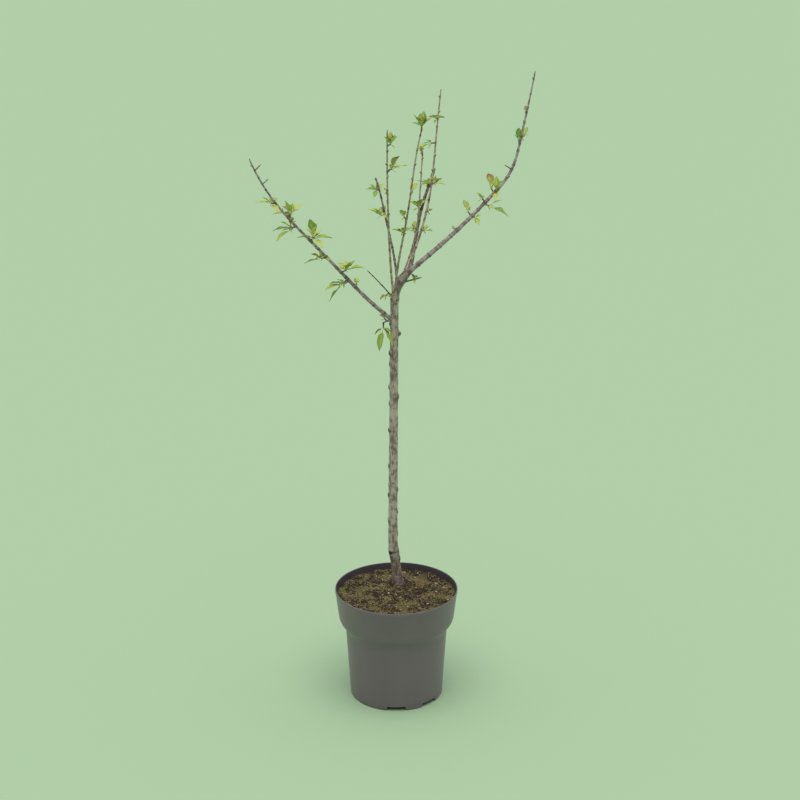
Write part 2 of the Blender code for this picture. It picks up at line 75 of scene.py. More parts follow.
def add_node(tree, kind, sockets=None, **settings):
    """A new node: its settings first, then each input is linked to a socket or given a value."""
    node = tree.nodes.new(kind)
    for key, value in settings.items():
        setattr(node, key, value)
    for key, value in (sockets or {}).items():
        if isinstance(value, bpy.types.NodeSocket):
            tree.links.new(value, node.inputs[key])
        else:
            node.inputs[key].default_value = value
    return node


def output(tree, kind, sockets=None, **settings):
    """The first output of a new node."""
    return add_node(tree, kind, sockets, **settings).outputs[0]


def calculated(tree, operation, *values):
    """The result of one step of arithmetic on sockets or numbers."""
    return output(tree, "ShaderNodeMath", dict(enumerate(values)), operation=operation)


def blend_colours(tree, share, first, second):
    """Two colours mixed. Each is a hex code, a linear colour or a socket."""
    first, second = (linear(c) if isinstance(c, str) else c for c in (first, second))
    mixed = add_node(tree, "ShaderNodeMix", {0: share, 6: first, 7: second}, data_type="RGBA")
    return mixed.outputs[2]


def ramp(tree, value, low, high):
    """0 below low, 1 above high and a smooth step between."""
    return output(tree, "ShaderNodeMapRange", {0: value, 1: low, 2: high}, interpolation_type="SMOOTHSTEP")


def noise_at(tree, place, scale, detail):
    return output(tree, "ShaderNodeTexNoise", {"Vector": place, "Scale": scale, "Detail": detail})


def two_tones(tree, place, scale, detail, dark, light):
    """Two colours mixed by noise."""
    return blend_colours(tree, noise_at(tree, place, scale, detail), dark, light)


def stretched(tree, place, scale):
    return output(tree, "ShaderNodeMapping", {"Vector": place, "Scale": scale})


def named_value(tree, name):
    return add_node(tree, "ShaderNodeAttribute", attribute_name=name).outputs["Fac"]


def start_material(name, roughness):
    """A material with its tree, its shader and the place on the object in metres."""
    material = bpy.data.materials.new(name)
    material.use_nodes = True
    tree = material.node_tree
    shader = tree.nodes["Principled BSDF"]
    shader.inputs["Roughness"].default_value = roughness
    place = add_node(tree, "ShaderNodeTexCoord").outputs["Object"]
    return material, tree, shader, place


def coat(tree, shader, colour, gloss=0.5):
    """The surface's colour, and how strongly it mirrors."""
    tree.links.new(colour, shader.inputs["Base Color"])
    shader.inputs["Specular IOR Level"].default_value = gloss


def raise_surface(tree, shader, height, depth):
    bump = output(tree, "ShaderNodeBump", {"Height": height, "Distance": depth, "Strength": 1.0})
    tree.links.new(bump, shader.inputs["Normal"])


# %% Tools for meshes
FULL_TURN = 6.283


def circle(sides, start=0.0):
    """The cosine and sine of evenly spaced turns."""
    turns = [start + 2 * math.pi * k / sides for k in range(sides)]
    return [(math.cos(a), math.sin(a)) for a in turns]


def show_mesh(name, vertices, faces=(), edges=(), values=None):
    """A smooth mesh object. values are named numbers or vectors, one for each vertex."""
    mesh = bpy.data.meshes.new(name)
    mesh.from_pydata(vertices, edges, faces)
    for key, numbers in (values or {}).items():
        if isinstance(numbers[0], tuple):
            layer = mesh.attributes.new(key, "FLOAT_VECTOR", "POINT")
            layer.data.foreach_set("vector", [part for vector in numbers for part in vector])
        else:
            layer = mesh.attributes.new(key, "FLOAT", "POINT")
            layer.data.foreach_set("value", numbers)
    mesh.shade_smooth()
    obj = bpy.data.objects.new(name, mesh)
    bpy.context.scene.collection.objects.link(obj)
    return obj


def ring_faces(rings, sides, closed=False):
    """Faces between rings of points, and with closed a cap on the first and the last ring."""
    faces = []
    for low in range(0, (rings - 1) * sides, sides):
        for i in range(sides):
            j = (i + 1) % sides
            faces.append((low + i, low + j, low + sides + j, low + sides + i))
    if closed:
        faces.append(tuple(reversed(range(sides))))
        faces.append(tuple((rings - 1) * sides + i for i in range(sides)))
    return faces


def frozen(obj):
    """The evaluated mesh takes the modifier's place."""
    bpy.context.view_layer.update()
    mesh = bpy.data.meshes.new_from_object(obj.evaluated_get(bpy.context.evaluated_depsgraph_get()))
    obj.modifiers.clear()
    obj.data = mesh
    return obj


def joined(objects, name):
    with bpy.context.temp_override(active_object=objects[0], selected_editable_objects=objects):
        bpy.ops.object.join()
    objects[0].name = name
    objects[0].data.name = name
    print(name, len(objects[0].data.polygons), "faces")
    return objects[0]


# %% [markdown]
# Geometry Nodes make what repeats and what follows a path here: litter, wood, buds and leaves. Copies could
# be placed by a loop instead, but a tree of nodes shows the rule at a glance and is quick with thousands of
# them. A modifier's inputs are set by the socket's identifier before anything is evaluated.

# %% Tools for trees of nodes
def start_tree(name, inputs):
    """A tree with its named inputs, and the sockets that they come in by."""
    tree = bpy.data.node_groups.new(name, "GeometryNodeTree")
    for label, kind in {"Geometry": "Geometry", **inputs}.items():
        tree.interface.new_socket(label, in_out="INPUT", socket_type="NodeSocket" + kind)
    tree.interface.new_socket("Geometry", in_out="OUTPUT", socket_type="NodeSocketGeometry")
    return tree, tree.nodes.new("NodeGroupInput").outputs


def end_tree(tree, geometry, material):
    """Instances are made real, faces smooth, and the material is set."""
    real = output(tree, "GeometryNodeRealizeInstances", {0: geometry})
    soft = output(tree, "GeometryNodeSetShadeSmooth", {"Geometry": real})
    coated = add_node(tree, "GeometryNodeSetMaterial", {"Geometry": soft, "Material": material})
    add_node(tree, "NodeGroupOutput", {0: coated.outputs[0]})


def run_tree(obj, tree, **values):
    modifier = obj.modifiers.new(tree.name, "NODES")
    modifier.node_group = tree
    for item in tree.interface.items_tree:
        if item.in_out == "INPUT" and item.name in values:
            modifier[item.identifier] = values[item.name]
    return frozen(obj)


def attribute(tree, name, kind="FLOAT"):
    return output(tree, "GeometryNodeInputNamedAttribute", {"Name": name}, data_type=kind)


# %% [markdown]
# The camera stands at eye height nearly three metres off and looks a little down, as for a catalogue
# picture of a tree on the floor. A long lens keeps the stem straight. The Standard view shows paint colours
# as they are.

# %% Camera
CAMERA_PLACE = (0.00657, -2.926, 1.582)
CAMERA_PITCH = 19.235
LENS, SENSOR_WIDTH = 80.55, 36
scene = bpy.context.scene
scene.view_settings.view_transform = "Standard"
camera = bpy.data.objects.new("camera", bpy.data.cameras.new("camera"))
scene.collection.objects.link(camera)
camera.location = CAMERA_PLACE
camera.rotation_euler = (math.radians(90 - CAMERA_PITCH), 0, 0)
camera.data.sensor_width = SENSOR_WIDTH
camera.data.lens = LENS
scene.camera = camera

# %% [markdown]
# A pale green floor runs out of the picture on every side. The light is a white room that is dimmer in
# front, so that the pot is darker in the middle than at its sides, with a wide lamp overhead for the soft
# shade under leaves and rim. A room lights every part of the floor alike, which lamps close by wouldn't.

# %% Floor
FLOOR_REACH = 30
corners = [(-FLOOR_REACH, -FLOOR_REACH, 0), (FLOOR_REACH, -FLOOR_REACH, 0),
           (FLOOR_REACH, FLOOR_REACH, 0), (-FLOOR_REACH, FLOOR_REACH, 0)]
floor = show_mesh("floor", corners, [(0, 1, 2, 3)])
floor_paint, tree, shader, place = start_material("pale_green_floor", 0.9)
shader.inputs["Base Color"].default_value = linear("#B0CFA7")
shader.inputs["Specular IOR Level"].default_value = 0.1
floor.data.materials.append(floor_paint)
floor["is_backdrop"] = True

# %% Light
FRONT_WALL, OTHER_WALLS = (0.42, 0.41, 0.41, 1), (1.32, 1.28, 1.34, 1)
# Where the room turns from dim to bright, on a scale from -1 in front of the tree to 1 behind it
WALL_FADE = (-0.80, 0.15)
ROOM_STRENGTH, LAMP_STRENGTH = 0.463, 1.72
LAMP_WIDTH, LAMP_TILT = 58, 18
world = bpy.data.worlds.new("white_room")
scene.world = world
world.use_nodes = True
tree = world.node_tree
direction = add_node(tree, "ShaderNodeTexCoord").outputs["Generated"]
depth = add_node(tree, "ShaderNodeSeparateXYZ", {0: direction}).outputs[1]
glow = blend_colours(tree, ramp(tree, depth, *WALL_FADE), FRONT_WALL, OTHER_WALLS)
tree.links.new(glow, tree.nodes["Background"].inputs["Color"])
tree.nodes["Background"].inputs["Strength"].default_value = ROOM_STRENGTH
lamp = bpy.data.objects.new("wide_lamp", bpy.data.lights.new("wide_lamp", "SUN"))
lamp.data.energy = LAMP_STRENGTH
lamp.data.angle = math.radians(LAMP_WIDTH)
lamp.rotation_euler = (math.radians(LAMP_TILT), 0, 0)
scene.collection.objects.link(lamp)
lamp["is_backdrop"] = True

# %% [markdown]
# The pot is a thin-walled nursery pot, injection moulded in grey plastic: a tapered body, a wider collar
# that rests on the next pot in a stack, a small rounded rim and drain slots in the foot. A plain turned
# body could have its slots cut out, but here the rings round the foot are lifted where a slot is, so that
# wall, collar and slots are one skin with no cuts to clean.

# %% The pot's sizes
RIM_RADIUS = 0.110
POT_HEIGHT = 0.2044
BASE_RADIUS = 0.0833
NECK_HEIGHT = 0.1265
NECK_RADIUS = 0.0912
COLLAR_HEIGHT = 0.151
COLLAR_RADIUS = 0.1036
HUB_RADIUS = 0.028
SLOT_HEIGHT = 8 * MM
SLOT_TURNS = (-90, -45, 90, 135)
SLOT_ROOF_ANGLE = 11.0
SLOT_FOOT_ANGLE = 12.6
POT_SECTORS = 180
THIN_WALL = 1.6 * MM
EDGE_ROUND = 1.2 * MM
FOOT_ROUND_HEIGHT = 0.3 * MM
BODY_START = 0.012
COLLAR_START = 6 * MM
INNER_FLOOR = 0.0115
INNER_FLOOR_RADIUS = 0.075
HUB_DEPTH = 2 * MM
# The rim from the outside over the top to the inside: in from its radius, and down from its top
RIM_LIP = ((0.3, 5.4), (0.0, 4.6), (0.0, 0.9), (0.25, 0.25), (0.9, 0.0), (1.5, 0.3), (1.7, 1.0))


def mix(pair, t):
    return pair[0] + (pair[1] - pair[0]) * t


def pot_radius(z):
    """The outer radius of the pot's body below its neck."""
    return mix((BASE_RADIUS, NECK_RADIUS), z / NECK_HEIGHT)


def slot_share(angle):
    """1 over a drain slot, 0 beside it."""
    off = min(abs((angle - turn + 180) % 360 - 180) for turn in SLOT_TURNS)
    return min(max((SLOT_FOOT_ANGLE - off) / (SLOT_FOOT_ANGLE - SLOT_ROOF_ANGLE), 0.0), 1.0)


def rounded(corners, steps=5):
    """A profile of (radius, height, rounding), with its inner corners rounded over their rounding."""
    points = [corners[0][:2]]
    for before, corner, after in zip(corners, corners[1:], corners[2:]):
        middle = Vector(corner[:2])
        first = middle + (Vector(before[:2]) - middle).normalized() * corner[2]
        last = middle + (Vector(after[:2]) - middle).normalized() * corner[2]
        for i in range(steps + 1):
            t = i / steps
            points.append(tuple(first * (1 - t) ** 2 + middle * 2 * t * (1 - t) + last * t * t))
    return points + [corners[-1][:2]]


def wall_profile(inset):
    """The wall from just over the slots to just under the rim, moved in by inset."""
    return rounded([
        (pot_radius(BODY_START) - inset, BODY_START, 0),
        (NECK_RADIUS - inset, NECK_HEIGHT, 4 * MM),
        (NECK_RADIUS + 2.6 * MM - inset, NECK_HEIGHT + 7.5 * MM, 3 * MM),
        (COLLAR_RADIUS - 2.8 * MM - inset, COLLAR_HEIGHT - 8 * MM, 2.5 * MM),
        (COLLAR_RADIUS - inset, COLLAR_HEIGHT, 3 * MM),
        (mix((COLLAR_RADIUS, RIM_RADIUS), 0.9) - inset, POT_HEIGHT - COLLAR_START, 0.5 * MM),
    ])


# %% The pot's mesh
slot_edges = [side * edge for side in (-1, 1) for edge in (SLOT_ROOF_ANGLE, SLOT_FOOT_ANGLE)]
angles = [i * 360 / POT_SECTORS for i in range(POT_SECTORS)]
angles = sorted(angles + [(turn + edge) % 360 for turn in SLOT_TURNS for edge in slot_edges])


def pot_ring(height, radius=None, slotted=False):
    """One ring of points. A slotted ring is lifted to the roof of each slot."""
    points = []
    for a in angles:
        z = height + (SLOT_HEIGHT - height) * slot_share(a) * slotted
        reach = pot_radius(z) if radius is None else radius
        points.append((reach * math.cos(math.radians(a)), reach * math.sin(math.radians(a)), z))
    return points


rows = [pot_ring(0.0, HUB_RADIUS * part) for part in (0.02, 0.5, 1.0)]
rows += [pot_ring(0.0, HUB_RADIUS + HUB_DEPTH, True), pot_ring(0.0, BASE_RADIUS - 2 * EDGE_ROUND, True)]
rows += [pot_ring(FOOT_ROUND_HEIGHT, BASE_RADIUS - 0.3 * EDGE_ROUND, True), pot_ring(EDGE_ROUND, None, True)]
rows += [pot_ring(height, radius) for radius, height in wall_profile(0)]
rows += [pot_ring(POT_HEIGHT - down * MM, RIM_RADIUS - inward * MM) for inward, down in RIM_LIP]
outside_faces = (len(rows) - 1) * len(angles)
rows += [pot_ring(height, radius) for radius, height in reversed(wall_profile(THIN_WALL))]
rows += [pot_ring(INNER_FLOOR, INNER_FLOOR_RADIUS), pot_ring(INNER_FLOOR, HUB_RADIUS)]
rows += [pot_ring(HUB_DEPTH, HUB_RADIUS - HUB_DEPTH), pot_ring(HUB_DEPTH, 0.5 * MM)]
pot = show_mesh("pot_body", [p for row in rows for p in row], ring_faces(len(rows), len(angles), closed=True))
pot.data.set_sharp_from_angle(angle=math.radians(38))
print("pot", len(pot.data.polygons), "faces")

# %% [markdown]
# Nursery pots are polypropylene with a fine moulded grain. It gives the eye an even satin grey with a
# faint, upright clouding from the mould. The inner wall is a darker copy of the same, painted shade for
# the inside of the pot.

# %% The pot's plastic
GRAIN_PER_METRE = 1400
CLOUDS_PER_METRE = 26


def moulded_plastic(name, dark, light):
    """Satin plastic in two close greys."""
    material, tree, shader, place = start_material(name, 0.38)
    clouds = noise_at(tree, stretched(tree, place, (1, 1, 0.25)), CLOUDS_PER_METRE, 2)
    coat(tree, shader, blend_colours(tree, clouds, dark, light), 0.45)
    raise_surface(tree, shader, noise_at(tree, place, GRAIN_PER_METRE, 2), 0.02 * MM)
    return material


pot.data.materials.append(moulded_plastic("moulded_grey_plastic", "#756A71", "#7F747B"))
# The darker inner copy is painted shade on the pot's inner wall and inner floor.
pot.data.materials.append(moulded_plastic("shaded_inner_plastic", "#4C474A", "#575155"))
for face in pot.data.polygons[outside_faces:-2]:
    face.material_index = 1
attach(pot, "root")
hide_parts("pot")

# %% [markdown]
# The pot is filled nearly to the rim with bark compost that has stood outdoors. A displaced plane would do,
# but rings whose heights come from noise at three sizes, clods, crumbs and grains, end cleanly at the round
# wall, and can be heaped a little round the stem.

# %% Soil
SOIL_LEVEL = 0.1925
SEAT_HEIGHT = 0.2012
SEAT_RADIUS = 0.015
MOUND_RADIUS = 0.062
TRUNK_FOOT = Vector((0.0034, 0.0250, SEAT_HEIGHT + GAP))
SOIL_RINGS, SOIL_SECTORS = 84, 220
SOIL_EDGE = RIM_RADIUS - 3.4 * MM
SOIL_DROP = 0.5 * MM
CLOD, CRUMB, GRAIN = 2.0 * MM, 1.5 * MM, 0.7 * MM
# The unseen sides of the compost down the pot, as radius and height
SOIL_SIDES = ((COLLAR_RADIUS - 2 * MM, COLLAR_HEIGHT), (NECK_RADIUS - 2.2 * MM, NECK_HEIGHT),
              (0.078, BODY_START))


def ease(value, start, end):
    """0 before start, 1 after end, and a smooth step between them."""
    t = min(max((value - start) / (end - start), 0.0), 1.0)
    return t * t * (3 - 2 * t)


def soil_height(x, y):
    off = math.hypot(x - TRUNK_FOOT.x, y - TRUNK_FOOT.y)
    level = ease(off, SEAT_RADIUS, MOUND_RADIUS)
    height = SEAT_HEIGHT + (SOIL_LEVEL - SEAT_HEIGHT) * level - SOIL_DROP
    height += CLOD * noise.noise(Vector((x, y, 0.1)) * 55)
    height += CRUMB * abs(noise.noise(Vector((x, y, 0.2)) * 160))
    return height + GRAIN * noise.noise(Vector((x, y, 0.3)) * 480)


soil_points = []
for r in range(SOIL_RINGS + 1):
    reach = SOIL_EDGE * max(r / SOIL_RINGS, 0.002)
    around = [(reach * c, reach * s) for c, s in circle(SOIL_SECTORS)]
    soil_points += [(x, y, soil_height(x, y)) for x, y in around]
for reach, height in SOIL_SIDES:
    soil_points += [(reach * c, reach * s, height) for c, s in circle(SOIL_SECTORS)]
soil_rows = SOIL_RINGS + 1 + len(SOIL_SIDES)
outward = [tuple(reversed(face)) for face in ring_faces(soil_rows, SOIL_SECTORS, closed=True)]
soil = show_mesh("soil_body", soil_points, outward)
print("soil", len(soil.data.polygons), "faces")

# %% [markdown]
# Bark compost is dark and crumbly. Here it lies under a thin mat of moss in patches a few centimetres wide,
# greener at the left and ochre and dry at the right. Everything is matt, so the eye reads colour and
# relief.

# %% Mossy compost
MOSS_SCALE = 36.0
MOSS_EDGE = (0.48, 0.58)
compost, tree, shader, place = start_material("mossy_compost", 0.95)
rightward = output(tree, "ShaderNodeSeparateXYZ", {0: place})
earth = two_tones(tree, place, 230, 6, "#1D1912", "#4E4534")
mossy = two_tones(tree, place, 170, 4, "#45452A", "#79784E")
dry = two_tones(tree, place, 190, 4, "#64502F", "#9C8657")
dry_patches = ramp(tree, noise_at(tree, place, 30, 3), 0.38, 0.62)
dry_share = calculated(tree, "MULTIPLY", ramp(tree, rightward, -0.01, 0.05), dry_patches)
moss_share = ramp(tree, noise_at(tree, place, MOSS_SCALE, 3), *MOSS_EDGE)
cover = blend_colours(tree, moss_share, earth, blend_colours(tree, dry_share, mossy, dry))
coat(tree, shader, cover, 0.2)
raise_surface(tree, shader, noise_at(tree, place, 900, 4), 0.5 * MM)
soil.data.materials.append(compost)

# %% [markdown]
# What lies on the compost repeats by the thousand: dry fibres, crumbs of bark, pale chips and tufts of
# moss. One tree of nodes scatters a small shape over the top. Its inputs give the size range, how far a
# shape tilts, and between which amounts of moss it lies, read from the same noise that colours the moss
# patches.

# %% The tree that scatters
def compared(tree, first, operation, second):
    return output(tree, "FunctionNodeCompare", {0: first, 1: second}, operation=operation)


scatter, given = start_tree("scatter", {
    "Shape": "Object", "Density": "Float", "Smallest": "Float", "Largest": "Float", "Tilt": "Float",
    "Moss": "Float", "Bare": "Float", "Seed": "Int", "Material": "Material"})
spot = output(scatter, "GeometryNodeInputPosition")
height = add_node(scatter, "ShaderNodeSeparateXYZ", {0: spot}).outputs[2]
moss_here = noise_at(scatter, spot, MOSS_SCALE, 3)
on_top = compared(scatter, height, "GREATER_THAN", SOIL_LEVEL - 4 * MM)
enough = compared(scatter, moss_here, "GREATER_THAN", given["Moss"])
little = compared(scatter, moss_here, "LESS_THAN", given["Bare"])
chosen = output(scatter, "FunctionNodeBooleanMath", {0: enough, 1: little}, operation="AND")
chosen = output(scatter, "FunctionNodeBooleanMath", {0: chosen, 1: on_top}, operation="AND")
spots = add_node(scatter, "GeometryNodeDistributePointsOnFaces",
                 {"Mesh": given["Geometry"], "Selection": chosen, "Density": given["Density"],
                  "Seed": given["Seed"]}).outputs["Points"]
backward = calculated(scatter, "MULTIPLY", given["Tilt"], -1.0)
low = output(scatter, "ShaderNodeCombineXYZ", {0: backward, 1: backward, 2: 0.0})
high = output(scatter, "ShaderNodeCombineXYZ", {0: given["Tilt"], 1: given["Tilt"], 2: FULL_TURN})
turn = output(scatter, "FunctionNodeRandomValue", {0: low, 1: high, "Seed": given["Seed"]},
              data_type="FLOAT_VECTOR")
size = add_node(scatter, "FunctionNodeRandomValue",
                {2: given["Smallest"], 3: given["Largest"], "Seed": 5}, data_type="FLOAT").outputs[1]
shape = add_node(scatter, "GeometryNodeObjectInfo", {"Object": given["Shape"]}).outputs["Geometry"]
placed = output(scatter, "GeometryNodeInstanceOnPoints",
                {"Points": spots, "Instance": shape, "Rotation": turn, "Scale": size})
end_tree(scatter, placed, given["Material"])

# %% [markdown]
# Each kind of litter has one small shape of a few dozen faces, made by a formula at unit length and scaled
# as it is scattered. A fibre is a bent strip, a crumb or a chip an uneven lump, and moss a tuft of leaning
# spikes.

# %% Shapes of the litter
def strip(width, bend, steps=6):
    """A thin bent strip with three sides, thickest in the middle."""
    points = []
    for i in range(steps + 1):
        t = i / steps
        thick = width * (1 - 0.6 * abs(2 * t - 1))
        for c, s in circle(3):
            points.append((t - 0.5, bend * math.sin(math.pi * t) + thick * c,
                           0.05 + 0.5 * bend * math.sin(3 * t) + thick * s))
    return points, ring_faces(steps + 1, 3, closed=True)


def lump(flat, rough, seed, sides=8):
    """An uneven lump of four rings, each a height and a width."""
    points, rng = [], random.Random(seed)
    levels = ((-0.5, 0.55), (-0.1, 1.0), (0.3, 0.8), (0.5, 0.3))
    for level, width in levels:
        for c, s in circle(sides):
            reach = 0.5 * width * (1 + rough * rng.uniform(-1, 1))
            points.append((reach * c, 0.8 * reach * s, flat * level + flat * 0.3))
    return points, ring_faces(len(levels), sides, closed=True)


def tuft(spikes=11, spread=0.35, thick=0.13):
    """Short leaning spikes from nearly one spot."""
    points, faces, rng = [], [], random.Random(3)
    for _ in range(spikes):
        a, lean = rng.uniform(0, FULL_TURN), rng.uniform(0.1, 0.8)
        foot = Vector((rng.uniform(-spread, spread), rng.uniform(-spread, spread), -0.05))
        tip = foot + Vector((math.cos(a) * lean, math.sin(a) * lean, 1.0)) * rng.uniform(0.35, 0.75)
        first = len(points)
        for k, (c, s) in enumerate(circle(3)):
            points.append(tuple(foot + Vector((c, s, 0)) * thick))
            faces.append((first + k, first + (k + 1) % 3, first + 3))
        points.append(tuple(tip))
    return points, faces


def plain_material(name, dark, light, roughness, scale=300):
    """Two tones of one colour, broken up by fine noise."""
    material, tree, shader, place = start_material(name, roughness)
    coat(tree, shader, two_tones(tree, place, scale, 3, dark, light), 0.25)
    return material


# %% Scatter the litter
# kind: shape, number per square metre, smallest and largest in mm, tilt, least and most moss below it,
# two tones, roughness, patches of tone per metre
LITTER = {
    "dry_fibre": (strip(0.040, 0.16), 42000, (5, 13), 0.35, (0.0, 1.0), ("#837450", "#C2B48A"), 0.85, 300),
    "dark_fibre": (strip(0.045, -0.1), 24000, (4, 9), 0.4, (0.0, 1.0), ("#2A241B", "#574C3A"), 0.9, 300),
    "bark_crumb": (lump(0.6, 0.25, 1), 60000, (1.6, 4.8), 0.5, (0.0, 0.56), ("#29231A", "#5E513C"), 0.95, 300),
    "pale_chip": (lump(0.3, 0.3, 2), 1900, (2.4, 5.6), 0.4, (0.0, 1.0), ("#A79E86", "#D2CBB6"), 0.8, 300),
    "moss_tips": (tuft(), 60000, (1.8, 4.2), 0.3, (0.51, 1.0), ("#5A5C30", "#94935A"), 0.8, 60),
    "dry_moss_tips": (tuft(), 30000, (1.6, 3.6), 0.3, (0.47, 1.0), ("#7C6234", "#B0935A"), 0.85, 60),
}
# The sheet that litter is scattered on ends two rings short of the pot's wall.
sheet_rings = SOIL_RINGS - 1
sheet_points = soil_points[:sheet_rings * SOIL_SECTORS]
litter = []
for number, (kind, row) in enumerate(LITTER.items()):
    (points, faces), density, sizes, tilt, moss, tones, roughness, scale = row
    shape = show_mesh("shape", points, faces)
    sheet = show_mesh(kind, sheet_points, ring_faces(sheet_rings, SOIL_SECTORS))
    litter.append(run_tree(
        sheet, scatter, Shape=shape, Density=float(density), Smallest=sizes[0] * MM, Largest=sizes[1] * MM,
        Tilt=tilt, Moss=moss[0], Bare=moss[1], Seed=number + 1,
        Material=plain_material(kind, *tones, roughness, scale)))
    bpy.data.objects.remove(shape)
litter = joined(litter, "soil_litter")
for piece in (soil, litter):
    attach(piece, "root")
    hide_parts("soil")

# %% [markdown]
# The tree grows by one rule. The stem and every limb is a curve walked in short steps, with a heading that
# turns along its length. Limbs could be drawn by hand as curves, but a start, a heading and a turn for each
# say the same in one line, and every spur, leaf and bud then finds its place by its distance along the
# limb.

# %% How the stem grows
TRUNK_LENGTH = 0.604
TRUNK_CROOK_LEAN = -7.5
TRUNK_CROOK_END = 0.080
TRUNK_LEAN = 0.45
TRUNK_FORE_LEAN = -2.2
FORK_START = 0.524
FORK_RUN = 0.082
FORK_LEAN = 46.0
TRUNK_FOOT_RADIUS = 8.7 * MM
TRUNK_TAPER = 3.3 * MM
ROOT_FLARE = 3.0 * MM
ROOT_FLARE_HEIGHT = 0.012
# Swellings all the way round: along the trunk, how much, and how long
TRUNK_SWELLINGS = ((0.066, 0.9 * MM, 0.014), (0.541, 0.9 * MM, 0.005), (0.576, 1.6 * MM, 0.015))
KNOB_START = 0.586
KNOB_TAPER = 1.9 * MM
# Knots of cut spurs: along the trunk, azimuth, how much
TRUNK_KNOTS = (
    (0.050, 0, 1.3 * MM), (0.066, 225, 1.4 * MM), (0.099, 10, 1.2 * MM), (0.127, 170, 1.1 * MM),
    (0.143, 350, 1.0 * MM), (0.176, 195, 1.3 * MM), (0.186, 20, 1.2 * MM), (0.195, 160, 1.0 * MM),
    (0.232, 190, 1.2 * MM), (0.268, 280, 0.9 * MM), (0.301, 200, 2.4 * MM), (0.322, 80, 1.5 * MM),
    (0.350, 175, 1.3 * MM), (0.363, 355, 1.5 * MM), (0.381, 185, 2.6 * MM), (0.405, 100, 1.8 * MM),
    (0.424, 190, 1.4 * MM), (0.444, 195, 2.4 * MM), (0.479, 350, 4.6 * MM), (0.497, 200, 1.6 * MM),
)
KNOT_SIZE = 5.0 * MM


def heading(azimuth, lean):
    """The direction of an azimuth and a lean from straight up, in degrees."""
    a = math.radians(azimuth)
    b = math.radians(lean)
    return Vector((math.sin(b) * math.cos(a), math.sin(b) * math.sin(a), math.cos(b)))


def bell(distance, size):
    return math.exp(-((distance / size) ** 2))


WALK_STEP = 2 * MM


class Axis:
    """A curve walked in short steps: at() gives the point and direction at a length along it."""

    def __init__(self, start, length, direction_at):
        steps = round(length / WALK_STEP)
        self.length = length
        self.step = length / steps
        self.points = [Vector(start)]
        self.directions = []
        for i in range(steps):
            direction = direction_at((i + 0.5) * self.step)
            self.directions.append(direction)
            self.points.append(self.points[-1] + direction * self.step)

    def at(self, along):
        place = min(max(along, 0.0), self.length) / self.step
        i = min(int(place), len(self.directions) - 1)
        return self.points[i] + self.directions[i] * (place - i) * self.step, self.directions[i]


def trunk_direction(along):
    crook_left = 1 - ease(along, 0.6 * TRUNK_CROOK_END, 1.4 * TRUNK_CROOK_END)
    lean = TRUNK_LEAN + TRUNK_CROOK_LEAN * crook_left
    lean += (FORK_LEAN - TRUNK_LEAN) * ease(along, FORK_START, FORK_START + FORK_RUN)
    x = math.sin(math.radians(lean))
    y = math.sin(math.radians(TRUNK_FORE_LEAN))
    return Vector((x, y, math.sqrt(1 - x * x - y * y)))


def trunk_radius(along, azimuth):
    radius = TRUNK_FOOT_RADIUS - TRUNK_TAPER * along
    radius += ROOT_FLARE * math.exp(-along / ROOT_FLARE_HEIGHT)
    radius += sum(swell * bell(along - where, size) for where, swell, size in TRUNK_SWELLINGS)
    radius -= KNOB_TAPER * ease(along, KNOB_START, TRUNK_LENGTH)
    for where, facing, swell in TRUNK_KNOTS:
        off = math.radians((azimuth - facing + 180) % 360 - 180) * radius
        radius += swell * bell(math.hypot(along - where, off), KNOT_SIZE)
    return radius


trunk = Axis(TRUNK_FOOT, TRUNK_LENGTH, trunk_direction)
print("stem", TRUNK_LENGTH, "m")

